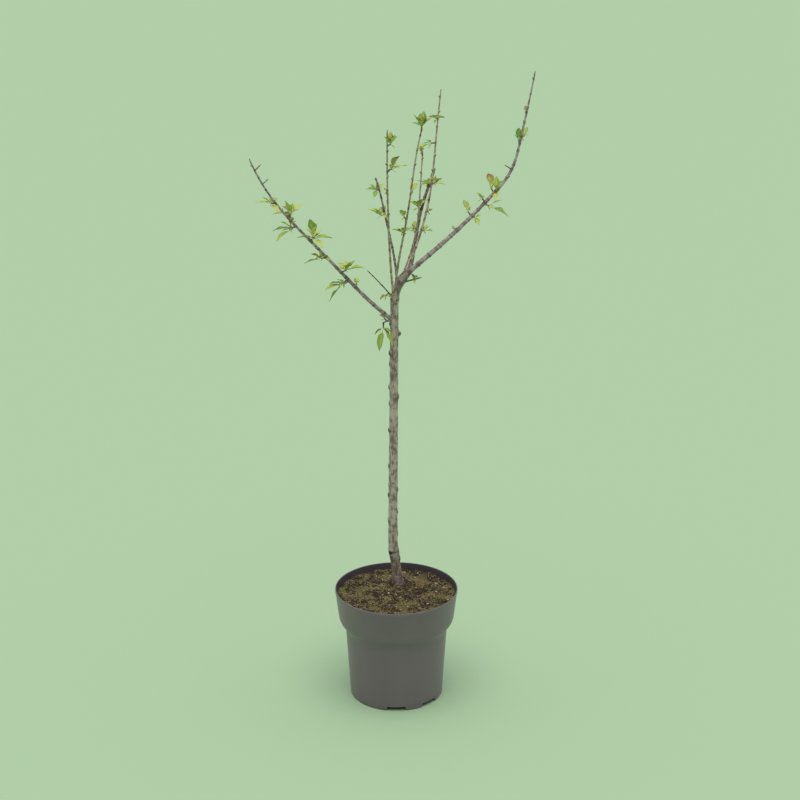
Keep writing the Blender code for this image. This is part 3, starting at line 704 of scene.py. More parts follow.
# %% The limbs
# Limbs: each is a bare bough and then a leafy shoot along one curve that starts in the trunk.
# rise: where along the trunk. out: how far its heart starts from the trunk's, towards its azimuth.
# azimuth, lean and radius: at the foot and at the tip, turning over the part "turn" of its length.
# sway: how many degrees the lean swings, how often over the length, and from which part of a swing.
# spurs: leaf clusters as (mm along the limb, azimuth, lean, number of leaves, leaf length in mm).
LIMBS = {
    "left": dict(
        rise=0.501, out=0.0, azimuth=(194, 212), lean=(53.9, 26.3), length=0.392, bare=0.084,
        radius=(3.6 * MM, 1.2 * MM), turn=(0.0, 1.0), sway=(-8.0, 1.0, 0.05),
        spurs=((94, 88, 60, 1, 20), (111, 207, 92, 1, 38), (115, 168, 138, 1, 40), (132, 342, 68, 4, 35),
               (171, 165, 100, 3, 32), (209, 242, 14, 1, 42), (213, 26, 88, 3, 34), (248, 162, 94, 1, 36),
               (251, 218, 110, 1, 34), (254, 129, 59, 2, 26), (267, 227, 19, 1, 32), (271, 45, 57, 2, 33),
               (304, 159, 82, 3, 30), (345, 40, 60, 0, 0), (372, 20, 30, 0, 0)),
    ),
    "right": dict(
        rise=0.592, out=0.0, azimuth=(8, 36), lean=(49.4, 12.3), length=0.415, bare=0.100,
        radius=(4.4 * MM, 1.2 * MM), turn=(0.48, 0.71), sway=(-1.8, 1.37, 0.63),
        spurs=((109, 100, 89, 1, 16), (145, 113, 42, 1, 30), (148, 287, 104, 2, 22), (176, 328, 100, 1, 40),
               (179, 120, 62, 2, 22), (200, 103, 38, 1, 36), (203, 311, 37, 2, 28), (206, 258, 103, 1, 24),
               (250, 200, 50, 0, 0), (295, 266, 14, 1, 28), (299, 59, 44, 1, 30), (347, 87, 50, 1, 14)),
    ),
    "leader": dict(
        rise=0.590, out=0.0, azimuth=(29, 64), lean=(19.8, 9.5), length=0.313, bare=0.068,
        radius=(2.3 * MM, 1.1 * MM), turn=(0.0, 1.0), sway=(-4.4, 1.1, 0.58),
        spurs=((78, 307, 73, 2, 24), (110, 63, 80, 1, 16), (157, 54, 70, 4, 28), (227, 210, 100, 1, 32),
               (266, 249, 60, 3, 18)),
    ),
    "rough": dict(
        rise=0.600, out=0.0, azimuth=(74, 59), lean=(30.9, 35.7), length=0.186, bare=0.052,
        radius=(3.0 * MM, 2.3 * MM), turn=(0.0, 1.0), sway=(5.5, 1.28, 0.28),
        spurs=((61, 91, 40, 2, 26), (107, 225, 47, 5, 28), (152, 256, 51, 3, 24)),
    ),
    "pale": dict(
        rise=0.574, out=0.0, azimuth=(326, 288), lean=(20.5, 5.7), length=0.237, bare=0.090,
        radius=(1.6 * MM, 1.0 * MM), turn=(0.0, 1.0), sway=(3.3, 1.27, 0.0),
        spurs=((150, 290, 50, 1, 14), (232, 100, 40, 2, 14)),
    ),
    "front": dict(
        rise=0.5395, out=0.004, azimuth=(275, 313), lean=(26.1, 15.7), length=0.336, bare=0.132,
        radius=(2.1 * MM, 1.1 * MM), turn=(0.0, 1.0), sway=(4.6, 1.3, 0.82),
        spurs=((151, 255, 64, 3, 24), (176, 248, 37, 1, 26), (223, 70, 60, 1, 26), (334, 77, 32, 7, 33)),
    ),
    "left_front": dict(
        rise=0.5375, out=0.004, azimuth=(261, 272), lean=(30.4, 20.2), length=0.354, bare=0.180,
        radius=(2.1 * MM, 1.1 * MM), turn=(0.0, 1.0), sway=(-2.6, 1.29, 0.83),
        spurs=((235, 102, 80, 1, 16), (279, 328, 30, 1, 33), (282, 28, 75, 1, 31), (328, 308, 40, 5, 26)),
    ),
    "left_back": dict(
        rise=0.563, out=0.0, azimuth=(99, 116), lean=(37.6, 40.5), length=0.206, bare=0.104,
        radius=(2.1 * MM, 1.6 * MM), turn=(0.0, 1.0), sway=(5.9, 1.37, 0.72),
        spurs=((134, 148, 65, 4, 30), (183, 125, 80, 6, 26)),
    ),
    "hanging_spur": dict(
        rise=0.503, out=0.0, azimuth=(215, 222), lean=(82, 100), length=0.026, bare=0.0,
        radius=(1.8 * MM, 1.0 * MM), turn=(0.0, 1.0), sway=(0.0, 1.0, 0.0),
        spurs=((15, 130, 70, 1, 17), (24, 235, 160, 2, 38)),
    ),
    "thin_twig": dict(
        rise=0.539, out=0.0, azimuth=(209, 189), lean=(38.1, 43.7), length=0.072, bare=0.0,
        radius=(1.3 * MM, 0.8 * MM), turn=(0.0, 1.0), sway=(0.0, 1.0, 0.0),
        spurs=((18, 225, 100, 2, 15),),
    ),
    "short_spur": dict(
        rise=0.5705, out=0.0, azimuth=(13, 14), lean=(78.9, 79.2), length=0.037, bare=0.0,
        radius=(1.8 * MM, 1.1 * MM), turn=(0.0, 1.0), sway=(0.0, 1.0, 0.0),
        spurs=((25, 273, 60, 4, 14),),
    ),
}
BRANCH_COLLAR = 1.2 * MM
BRANCH_COLLAR_RUN = 9 * MM


def limb_axis(limb, trunk):
    start = trunk.at(limb["rise"])[0] + heading(limb["azimuth"][0], 90) * limb["out"]
    swing, waves, phase = limb["sway"]

    def direction_at(along):
        t = along / limb["length"]
        lean = mix(limb["lean"], ease(t, *limb["turn"]))
        lean += swing * math.sin(2 * math.pi * (waves * t + phase))
        return heading(mix(limb["azimuth"], t), lean)

    return Axis(start, limb["length"], direction_at)


def limb_radius(limb, along):
    radius = mix(limb["radius"], along / limb["length"])
    return radius + BRANCH_COLLAR * math.exp(-along / BRANCH_COLLAR_RUN) * (limb["bare"] > 0)


axes = {name: limb_axis(limb, trunk) for name, limb in LIMBS.items()}
print("limbs", len(axes))

# %% [markdown]
# Cherries flower and leaf on short spurs. Each spur carries a rosette whose leaves turn by the golden
# angle, and between the spurs stand single buds. A leaf that would touch wood or another leaf turns aside,
# or isn't grown, which keeps the sprays open as on the real tree.

# %% Rules for spurs, leaves and buds
GOLDEN_ANGLE = 137.508
BUD_STEP = 24 * MM
BUD_LENGTH = 4.2 * MM
BUD_SPREAD = 38.0
SPUR_LENGTH = 7 * MM
SPUR_SQUARENESS = 0.6
BARE_SPUR_LENGTH = 15 * MM
LEAF_SEAT = 0.4 * MM
LEAF_SLENDER = 0.30
LEAF_DROOP = 0.16
LEAF_LEAN_SPREAD = 26.0
LEAF_SHRINK = 0.07
LEAF_CLEARANCE = 4.5 * MM
LIMB_CLEARANCE = 3.5 * MM
ROOM_STEP = 6 * MM
LEAF_TURNS = (0, 35, -35, 70, -70, 110)


def square_to(direction, turn, reference=RIGHT):
    """A direction square to the first, turned about it from the reference by so many radians."""
    side = (reference - direction * reference.dot(direction)).normalized()
    return side * math.cos(turn) + direction.cross(side) * math.sin(turn)


def stations(start, end, step):
    count = max(2, round((end - start) / step) + 1)
    return [start + (end - start) * i / (count - 1) for i in range(count)]


def leaf_frame(direction):
    side = direction.cross(UP)
    if side.length < 0.2:
        side = RIGHT - direction * direction.x
    side.normalize()
    return side, side.cross(direction)


def leaf_spine(root, direction, length, part):
    return root + direction * length * part - UP * length * LEAF_DROOP * part * part


def leaf_samples(root, direction, length):
    """Points that stand for a leaf where its distance from other things is measured."""
    side = leaf_frame(direction)[0] * length * LEAF_SLENDER / 2
    spine = [leaf_spine(root, direction, length, part) for part in (0.3, 0.5, 0.75, 1.0)]
    return spine + [spine[1] + side, spine[1] - side]


def clear_of(samples, others, clearance):
    return all((sample - other).length > clearance + room for sample in samples for other, room in others)


def room_round(axis, radius_at):
    """Points along an axis, each with the radius that it takes up."""
    return [(axis.at(s)[0], radius_at(s)) for s in stations(0, axis.length, ROOM_STEP)]


# %% Plan every spur, leaf and bud
rng = random.Random(7)
stem_room = room_round(trunk, lambda s: trunk_radius(s, 0))
rooms = {name: room_round(axes[name], lambda s, o=name: limb_radius(LIMBS[o], s)) for name in LIMBS}
leaves, spurs, buds, taken = [], [], [], []


def grow_spur(name, along_mm, azimuth, lean, count, length_mm, wood):
    """Plans one spur and the leaves on it, and returns the room that they take."""
    own = []
    root, along_limb = axes[name].at(along_mm * MM)
    out = heading(azimuth, lean)
    out = (out - along_limb * out.dot(along_limb) * SPUR_SQUARENESS).normalized()
    reach = limb_radius(LIMBS[name], along_mm * MM) + (SPUR_LENGTH if count else BARE_SPUR_LENGTH)
    spurs.append((name, root, out, reach, count))
    tip = root + out * (reach - LEAF_SEAT)
    for k in range(count):
        length = length_mm * MM * (1 - LEAF_SHRINK * k)
        leaf_lean = lean + (k > 0) * rng.uniform(-LEAF_LEAN_SPREAD, LEAF_LEAN_SPREAD)
        for turn in LEAF_TURNS:
            direction = heading(azimuth + k * GOLDEN_ANGLE + turn, leaf_lean)
            samples = leaf_samples(tip, direction, length)
            if clear_of(samples, wood, LIMB_CLEARANCE) and clear_of(samples, taken, LEAF_CLEARANCE):
                leaves.append((len(spurs), k, tip, direction, length))
                own += [(sample, 0.0) for sample in samples]
                break
    return own


def grow_buds(name):
    """Plans the single buds along one limb."""
    limb, axis = LIMBS[name], axes[name]
    start = limb["bare"] + (GAP if limb["bare"] else 0.0)
    for i, along in enumerate(stations(start + BUD_STEP / 2, axis.length - BUD_STEP / 2, BUD_STEP)):
        if axis.length - start < 2 * BUD_STEP or along < start + 2 * BUD_LENGTH:
            continue
        root, along_limb = axis.at(along)
        out = along_limb * math.cos(math.radians(BUD_SPREAD))
        out += square_to(along_limb, math.radians(GOLDEN_ANGLE * i)) * math.sin(math.radians(BUD_SPREAD))
        buds.append((name, along, root + out * limb_radius(limb, along), out))


for name, limb in LIMBS.items():
    wood = stem_room + [room for other in LIMBS if other != name for room in rooms[other]]
    taken += [room for spur in limb["spurs"] for room in grow_spur(name, *spur, wood)]
    grow_buds(name)
print(len(leaves), "leaves", len(spurs), "spurs", len(buds), "buds")

# %% [markdown]
# The stem's bark is thin and grey, split into upright brown streaks and dotted with pale breathing pores.
# Cut side shoots have left knots, and each graft shows as a ring. Noise in a material would only shade
# this, so it is real relief: rings of points round the stem's line, each moved in or out. Three numbers
# kept on the points tell the bark's material where knots, pores and the older wood at the foot are.

# %% What roughens the stem
STEM_SIDES, STEM_STEP, STEM_SUNK = 60, 1.3 * MM, 0.010
STEM_REACH = 7.5 * MM
SKIN_TRIM = 0.2 * MM
# Noise as (height, points per metre): flakes and cracks along the stem, lumps and pits at fork and grafts
FLAKES, CRACKS = (0.55 * MM, 420), (0.25 * MM, 1100)
LUMPS, PITS, GRAFT_LUMPS = (0.9 * MM, 190), (0.5 * MM, 480), (0.5 * MM, 700)
FLAKE_STRETCH, CRACK_STRETCH = 0.10, 0.35
PORES, PORE_HEIGHT, PORE_HALF_HEIGHT, PORE_REACH = 260, 0.28 * MM, 0.55 * MM, 2 * MM
GRAFT_RINGS, GRAFT_WIDTH = (0.066, 0.541), 2.2 * MM
FORK_ROUGH_FROM, FORK_ROUGH_TO = 0.535, 0.565
STUB_REACH, STUB_RADIUS, PLAIN_KNOT = 9 * MM, 8 * MM, 1.3 * MM
STUB_LIP, STUB_LIP_AT, STUB_LIP_WIDTH, STUB_PIT_WIDTH = 0.55 * MM, 2.6 * MM, 0.9 * MM, 1.5 * MM
KNOT_SHADE_WIDTH, GRAFT_SHADE, FORK_SHADE = 3.6 * MM, 0.75, 0.30
OLD_WOOD_SHADE, OLD_WOOD_FROM, OLD_WOOD_TO = 0.55, 0.040, 0.072
END_ROUND = 3 * MM
pore_rng = random.Random(12)
pores = [(pore_rng.uniform(0.0, 0.56), pore_rng.uniform(0, 360), pore_rng.uniform(1.0, 2.4) * MM)
         for _ in range(PORES)]


def rough(noise_pair, point):
    height, scale = noise_pair
    return height * noise.noise(point * scale)


def off_round(degrees, facing, radius):
    """How far round the stem one azimuth is from another, in metres."""
    return math.radians((degrees - facing + 180) % 360 - 180) * radius


def stem_point(s, degrees, centre, reach, graft, fork):
    """The radius at one point of the stem, and how much knot and pore it shows."""
    spot = reach * STEM_REACH
    radius = trunk_radius(max(s, 0.0), degrees) - SKIN_TRIM
    radius += rough(FLAKES, Vector((spot.x, spot.y, s * FLAKE_STRETCH)))
    radius += rough(CRACKS, Vector((spot.x, spot.y, s * CRACK_STRETCH)))
    radius += fork * (rough(LUMPS, centre + spot) + rough(PITS, centre + spot))
    radius += graft * rough(GRAFT_LUMPS, Vector((spot.x, spot.y, 0.4)))
    knot = pore = 0.0
    for where, facing, swell in TRUNK_KNOTS:
        if abs(where - s) < STUB_REACH:
            far = math.hypot(s - where, off_round(degrees, facing, STUB_RADIUS))
            knot = max(knot, bell(far, KNOT_SHADE_WIDTH) * min(1.0, swell / PLAIN_KNOT))
            lip = bell(far - STUB_LIP_AT, STUB_LIP_WIDTH) - bell(far, STUB_PIT_WIDTH)
            radius += STUB_LIP * lip * min(1.2, swell / PLAIN_KNOT)
    for where, facing, width in pores:
        if abs(where - s) < PORE_REACH:
            across = bell(off_round(degrees, facing, STEM_REACH), width)
            pore = max(pore, across * bell(s - where, PORE_HALF_HEIGHT))
    return radius + PORE_HEIGHT * pore, knot, pore


# %% The stem's mesh
stem_points, knots, pore_marks, old_wood = [], [], [], []
ring_count = round((TRUNK_LENGTH + STEM_SUNK) / STEM_STEP) + 1
for r in range(ring_count):
    s = -STEM_SUNK + (TRUNK_LENGTH + STEM_SUNK) * r / (ring_count - 1)
    centre, direction = trunk.at(s)
    centre = centre + direction * min(s, 0.0)
    graft = sum(bell(s - where, GRAFT_WIDTH) for where in GRAFT_RINGS)
    fork = ease(s, FORK_ROUGH_FROM, FORK_ROUGH_TO)
    past = max(0.0, s - TRUNK_LENGTH + END_ROUND) / (END_ROUND + 0.05 * MM)
    for i in range(STEM_SIDES):
        a = 2 * math.pi * i / STEM_SIDES
        reach = square_to(direction, a)
        radius, knot, pore = stem_point(s, math.degrees(a), centre, reach, graft, fork)
        stem_points.append(tuple(centre + reach * radius * math.sqrt(1 - past ** 2)))
        knots.append(min(1.0, knot + GRAFT_SHADE * min(1.0, graft) + FORK_SHADE * fork))
        pore_marks.append(pore)
        old_wood.append(OLD_WOOD_SHADE * (1 - ease(s, OLD_WOOD_FROM, OLD_WOOD_TO)))
stem = show_mesh("stem", stem_points, ring_faces(ring_count, STEM_SIDES, closed=True),
                 values={"knot": knots, "pore": pore_marks, "low": old_wood})
print("stem", len(stem.data.polygons), "faces")

# %% [markdown]
# Young cherry bark is a smooth grey-brown skin with a dull sheen, in streaks a millimetre or two wide along
# the wood. Buds, ring scars and cut stubs are dark corky spots, and pores are pale. One function gives the
# old stem, the grey limbs, the pale straight shoots and the dark rough ones their own tones of it.

# %% Bark
def bark_material(name, dark, light, knot_colour, pore_colour, streak=0.5, fineness=300):
    """Two tones of bark in upright streaks, with dark knots and pale pores."""
    material, tree, shader, place = start_material(name, 0.78)
    streaks = noise_at(tree, stretched(tree, place, (1, 1, streak)), fineness, 5)
    both = calculated(tree, "ADD", streaks, noise_at(tree, place, 95, 3))
    colour = blend_colours(tree, ramp(tree, both, 0.80, 1.18), dark, light)
    for mark, mark_colour in (("low", "#54402F"), ("pore", pore_colour), ("knot", knot_colour)):
        colour = blend_colours(tree, named_value(tree, mark), colour, mark_colour)
    coat(tree, shader, colour, 0.3)
    raise_surface(tree, shader, streaks, 0.35 * MM)
    return material


stem.data.materials.append(bark_material("stem_bark", "#7E7066", "#C6BBB0", "#281D17", "#CFC5B7", 0.16, 520))
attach(stem, "root")
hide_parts("trunk")

# %% [markdown]
# Boughs and twigs are round wood that follows a line. A curve with a bevel would be even all the way, so a
# tree of nodes sweeps a ring along each line instead, takes the thickness from a number on the line's
# points, and roughens the skin by noise. A bough flares where it leaves the stem, and a twig swells at each
# bud.

# %% The tree that makes wood
wood_tree, given = start_tree("wood", {"Sides": "Int", "Roughness": "Float", "Grain": "Float",
                                       "Material": "Material"})
line = output(wood_tree, "GeometryNodeMeshToCurve", {"Mesh": given["Geometry"]})
thick = attribute(wood_tree, "radius")
line = output(wood_tree, "GeometryNodeSetCurveRadius", {"Curve": line, "Radius": thick})
profile = output(wood_tree, "GeometryNodeCurvePrimitiveCircle",
                 {"Resolution": given["Sides"], "Radius": 1.0})
swept = add_node(wood_tree, "GeometryNodeCurveToMesh",
                 {"Curve": line, "Profile Curve": profile, "Fill Caps": True})
# Newer versions take the thickness here, older ones from the curve's radius.
if "Scale" in swept.inputs:
    wood_tree.links.new(thick, swept.inputs["Scale"])
bumps = output(wood_tree, "ShaderNodeTexNoise", {"Scale": given["Grain"], "Detail": 3.0})
bumps = calculated(wood_tree, "SUBTRACT", bumps, 0.5)
bumps = calculated(wood_tree, "MULTIPLY", bumps, given["Roughness"])
outward = output(wood_tree, "GeometryNodeInputNormal")
push = output(wood_tree, "ShaderNodeVectorMath", {0: outward, "Scale": bumps}, operation="SCALE")
moved = output(wood_tree, "GeometryNodeSetPosition", {"Geometry": swept.outputs[0], "Offset": push})
end_tree(wood_tree, moved, given["Material"])

# %% Lines of wood
LINE_STEP, WOOD_GRAIN = 1.2 * MM, 380.0
NODE_SWELL, NODE_WIDTH, NODE_SHADE = 0.20, 1.5 * MM, 0.55
TIP_TAPER, TIP_RUN = 0.55, 3 * MM
CUT_ENDS = ("rough", "left_back")
SPUR_STEPS, SPUR_HALF_WAVES, SPUR_SHADES = 10, 5, (0.35, 0.65)
SPUR_FOOT, SPUR_THINNING, SPUR_RINGS = 1.5 * MM, 0.35 * MM, 0.22 * MM
BARE_SPUR_THINNESS, BARE_SPUR_CUT = 0.75, 6 * MM


def wood_lines(name, lines, material, sides, roughness):
    """A mesh of round wood from lines of (point, radius, knot)."""
    spots = [spot for line in lines for spot in line]
    edges, first = [], 0
    for line in lines:
        edges += [(i, i + 1) for i in range(first, first + len(line) - 1)]
        first += len(line)
    values = {"radius": [radius for _, radius, _ in spots], "knot": [knot for *_, knot in spots]}
    obj = show_mesh(name, [tuple(point) for point, *_ in spots], edges=edges, values=values)
    return run_tree(obj, wood_tree, Sides=sides, Roughness=roughness, Grain=WOOD_GRAIN, Material=material)


def limb_line(name, start, end, tapers):
    """Points along a limb, thicker and darker at its buds, spurs and ring scars."""
    limb, axis, points = LIMBS[name], axes[name], []
    places = [along for owner, along, *_ in buds if owner == name] + [spur[0] * MM for spur in limb["spurs"]]
    places += [BUD_STEP * k for k in range(1, 20) if BUD_STEP * k < limb["bare"]]
    count = max(3, round((end - start) / LINE_STEP))
    for i in range(count + 1):
        s = start + (end - start) * i / count
        node = max(bell(s - where - NODE_WIDTH * 0.4, NODE_WIDTH) for where in places)
        radius = limb_radius(limb, s) * (1 + NODE_SWELL * node)
        if tapers:
            radius *= 1 - TIP_TAPER * ease(s, end - TIP_RUN, end)
        points.append((axis.at(s)[0], radius, NODE_SHADE * node))
    return points


def spur_line(root, out, reach, count):
    """A short ringed spur, thinner and shorter where it bears no leaves."""
    points = []
    reach -= 0 if count else BARE_SPUR_CUT
    for i in range(SPUR_STEPS + 1):
        t = i / SPUR_STEPS
        radius = SPUR_FOOT - SPUR_THINNING * t + SPUR_RINGS * math.sin(SPUR_HALF_WAVES * math.pi * t)
        radius *= 1.0 if count else BARE_SPUR_THINNESS
        points.append((root + out * reach * t, radius, SPUR_SHADES[i % 2]))
    return points


# %% Grow the wood
# Bark: two tones, its knots and its pores, the limbs that have it, and how rough it is
WOODS = {
    "grey_young_bark": (("#83756F", "#B8ADA8", "#3A2C24", "#C0B6AA"), ("left", "right"), 0.7 * MM),
    "pale_young_bark": (("#937F6D", "#C6B6A3", "#4C3A2E", "#D2C7B8"),
                        ("leader", "pale", "front", "left_front"), 0.5 * MM),
    "dark_rough_bark": (("#594A43", "#94867C", "#2B201A", "#A3968A"),
                        ("rough", "left_back", "hanging_spur", "thin_twig", "short_spur"), 1.3 * MM),
}
BOUGH_SIDES, TWIG_SIDES, SPUR_SIDES, SPUR_ROUGHNESS = 20, 14, 9, 0.5 * MM
boughs, twigs = [], []
for wood, (tones, names, roughness) in WOODS.items():
    bark = bark_material(wood, *tones)
    bare = [limb_line(n, 0.0, LIMBS[n]["bare"], False) for n in names if LIMBS[n]["bare"]]
    leafy = [limb_line(n, LIMBS[n]["bare"], LIMBS[n]["length"], n not in CUT_ENDS) for n in names]
    short = [spur_line(*spur) for owner, *spur in spurs if owner in names]
    boughs.append(wood_lines("boughs_" + wood, bare, bark, BOUGH_SIDES, roughness))
    twigs.append(wood_lines("twigs_" + wood, leafy, bark, TWIG_SIDES, roughness))
    twigs.append(wood_lines("spurs_" + wood, short, bark, SPUR_SIDES, SPUR_ROUGHNESS))
print(len(spurs), "spurs on", len(axes), "limbs")

# %% [markdown]
# Buds and leaves repeat by the dozen, each with its own direction and size. A tree of nodes sets one shape
# on points that hold a turn and a size. After the copies are made real, every leaf sags by its length and
# by the square of the way along it, straight down, as a soft young leaf does.

# %% The tree that sets buds and leaves
grow_tree, given = start_tree("grow", {"Shape": "Object", "Droop": "Float", "Material": "Material"})
shape = add_node(grow_tree, "GeometryNodeObjectInfo", {"Object": given["Shape"]}).outputs["Geometry"]
placed = output(grow_tree, "GeometryNodeInstanceOnPoints",
                {"Points": given["Geometry"], "Instance": shape,
                 "Rotation": attribute(grow_tree, "turn", "FLOAT_VECTOR"),
                 "Scale": attribute(grow_tree, "size", "FLOAT_VECTOR")})
real = output(grow_tree, "GeometryNodeRealizeInstances", {0: placed})
along = attribute(grow_tree, "along")
sag = calculated(grow_tree, "MULTIPLY", along, along)
for factor in (attribute(grow_tree, "long"), given["Droop"], -1.0):
    sag = calculated(grow_tree, "MULTIPLY", sag, factor)
offset = output(grow_tree, "ShaderNodeCombineXYZ", {0: 0.0, 1: 0.0, 2: sag})
moved = output(grow_tree, "GeometryNodeSetPosition", {"Geometry": real, "Offset": offset})
end_tree(grow_tree, moved, given["Material"])


def frame_turn(direction):
    """The turn that brings +Y to a direction, +X level and +Z to the upper side."""
    side, normal = leaf_frame(direction)
    return tuple(Matrix((side, direction, normal)).transposed().to_euler())


def grow(name, spots, shape, material, droop=0.0):
    """Sets one shape on spots of (point, direction, length, width)."""
    values = {"turn": [frame_turn(direction) for _, direction, _, _ in spots],
              "size": [(width, length, width) for _, _, length, width in spots],
              "long": [length for _, _, length, _ in spots]}
    points = show_mesh(name, [tuple(point) for point, *_ in spots], values=values)
    made = run_tree(points, grow_tree, Shape=shape, Droop=droop, Material=material)
    bpy.data.objects.remove(shape)
    return made


# %% [markdown]
# A cherry bud is a pointed cone of tight brown scales, and some have opened to a green point. The scales'
# edges are steps in the bud's profile. Every shoot that isn't cut ends in a bud with three more close round
# it.

# %% Buds
BUD_SIDES = 7
# Along the bud, and how wide it is there
BUD_PROFILE = ((0.0, 0.20), (0.12, 0.27), (0.3, 0.31), (0.34, 0.27), (0.55, 0.27), (0.6, 0.22), (0.82, 0.14),
               (1.0, 0.01))
BUD_WIDTH = 0.80
OPEN_BUD_LENGTH, OPEN_BUD_WIDTH = 6 * MM, 3.6 * MM
TIP_BUD_WIDTH, TIP_RING_BUDS = 2.6 * MM, 3
# Every fifth bud has opened, from the third on.
OPEN_EVERY, FIRST_OPEN = 5, 2
TIP_RING_DOWN, TIP_RING_LEAN, TIP_RING_LENGTH, TIP_RING_WIDTH = 4.8 * MM, 0.35, 3.6 * MM, 2.4 * MM


def bud_shape():
    """A pointed bud of unit length that twists a little from scale to scale."""
    points = []
    for t, wide in BUD_PROFILE:
        turns = [2 * math.pi * (k + t) / BUD_SIDES for k in range(BUD_SIDES)]
        points += [(wide * math.cos(a), t, wide * math.sin(a)) for a in turns]
    return show_mesh("bud", points, ring_faces(len(BUD_PROFILE), BUD_SIDES, closed=True),
                     values={"along": [0.0] * len(points)})


brown, green = [], []
for number, (_, _, root, out) in enumerate(buds):
    bud = (root - out * 0.4 * MM, out, BUD_LENGTH, BUD_LENGTH * BUD_WIDTH)
    (green if number % OPEN_EVERY == FIRST_OPEN else brown).append(bud)
for _, root, out, reach, count in spurs:
    if not count:
        foot = root + out * (reach - BARE_SPUR_CUT - 1.5 * MM)
        green.append((foot, out, OPEN_BUD_LENGTH, OPEN_BUD_WIDTH))
for name in LIMBS:
    if name in (*CUT_ENDS, "hanging_spur"):
        continue
    point, direction = axes[name].at(axes[name].length)
    brown.append((point - direction * 1.0 * MM, direction, BUD_LENGTH, TIP_BUD_WIDTH))
    for k in range(TIP_RING_BUDS):
        beside = square_to(direction, 2 * math.pi * k / TIP_RING_BUDS)
        lean = (direction + beside * TIP_RING_LEAN).normalized()
        brown.append((point - direction * TIP_RING_DOWN, lean, TIP_RING_LENGTH, TIP_RING_WIDTH))
bud_scales = plain_material("bud_scales", "#3A251D", "#6A4A3A", 0.55)
opening_bud = plain_material("opening_bud", "#6B6F32", "#9AA24C", 0.5)
twigs.append(grow("brown_buds", brown, bud_shape(), bud_scales))
twigs.append(grow("green_buds", green, bud_shape(), opening_bud))
print(len(brown), "brown and", len(green), "green buds")

# %% [markdown]
# A cherry leaf is a long oval with a toothed edge and a drawn-out tip, on a thin stalk. A flat card cut out
# by a picture would show its trick from the side, so the blade is a small mesh in its own outline, folded
# along the rib. Each kind of leaf has its own fold, waves and twist.

# %% A leaf's shape
STALK = 0.24
STALK_THICKNESS, STALK_DROP = 0.035, 0.015
BLADE_ROWS = 15
BLADE_COLUMNS = (-1.0, -0.5, 0.0, 0.5, 1.0)
TOOTH, TOOTH_REACH = 0.90, 0.02
BLADE_BLUNTNESS, BLADE_NARROWING, WIDEST_BEFORE, THINNEST = 0.85, 0.25, 0.93, 0.004
WAVES_ALONG, WAVES_ACROSS = 9, 2
RIB_DEPTH, VEIN_DEPTH = 0.03, 0.02


def blade_half(u, row, fullness):
    """Half the blade's width at u along it, less at every other row, which cuts the teeth."""
    half = 0.5 * math.sin(math.pi * u ** fullness) ** BLADE_BLUNTNESS
    half = half * (1 - BLADE_NARROWING * u) / WIDEST_BEFORE
    return max(half, THINNEST) * (1.0 if row % 2 or u in (0.0, 1.0) else TOOTH)


def blade_shape(fold, wave, twist, fullness):
    """A leaf of unit length and width: a stalk, then a toothed blade folded along its rib."""
    points, along, across = [], [], []
    for t in (0.0, 0.12, STALK + 0.05):
        for c, s in circle(4, math.pi / 4):
            points.append((STALK_THICKNESS * c, t, STALK_THICKNESS * s - STALK_DROP))
            along.append(t)
            across.append(0.0)
    first = len(points)
    for row in range(BLADE_ROWS + 1):
        u = row / BLADE_ROWS
        half = blade_half(u, row, fullness)
        for v in BLADE_COLUMNS:
            ripple = math.sin(WAVES_ALONG * u + WAVES_ACROSS * v)
            lift = abs(v) * half * fold + wave * ripple * abs(v) * half
            lift += twist * v * half * u - RIB_DEPTH * (v == 0.0) - VEIN_DEPTH * (abs(v) == 0.5) * (row % 2)
            t = STALK + (1 - STALK) * u
            points.append((v * half, t + TOOTH_REACH * abs(v) * (row % 2), lift))
            along.append(t)
            across.append(abs(v))
    columns = len(BLADE_COLUMNS)
    starts = [first + row * columns + k for row in range(BLADE_ROWS) for k in range(columns - 1)]
    blade = [(a, a + 1, a + columns + 1, a + columns) for a in starts]
    return show_mesh("blade", points, ring_faces(3, 4) + blade, values={"along": along, "across": across})


# %% [markdown]
# Young leaves are satin, thin and yellow-green, with a paler rib and side veins, and the youngest have
# bronze tips. The veins are drawn by a wave that slants back from the rib. Each kind has one plain colour
# in two close tones, and kinds are dealt out spray by spray.

# %% A leaf's finish
VEINS = 90.0
VEIN_SLANT = 0.13
VEIN_STRENGTH = 0.45


def leaf_material(name, tones, rib, tip, tip_start):
    """A satin young leaf with a paler rib and side veins, and its own colour at the tip."""
    material, tree, shader, place = start_material(name, 0.46)
    across, along = named_value(tree, "across"), named_value(tree, "along")
    back = calculated(tree, "MULTIPLY", across, VEIN_SLANT)
    slant = calculated(tree, "SUBTRACT", calculated(tree, "ADD", along, -0.10), back)
    wave = calculated(tree, "SINE", calculated(tree, "MULTIPLY", slant, VEINS))
    veins = calculated(tree, "MULTIPLY", ramp(tree, wave, 0.72, 1.0), VEIN_STRENGTH)
    marks = calculated(tree, "MAXIMUM", ramp(tree, across, 0.30, 0.0), veins)
    tone = two_tones(tree, place, 120, 2, *tones)
    colour = blend_colours(tree, marks, tone, rib)
    colour = blend_colours(tree, ramp(tree, along, tip_start, 1.0), colour, tip)
    coat(tree, shader, colour)
    raise_surface(tree, shader, marks, 0.15 * MM)
    return material


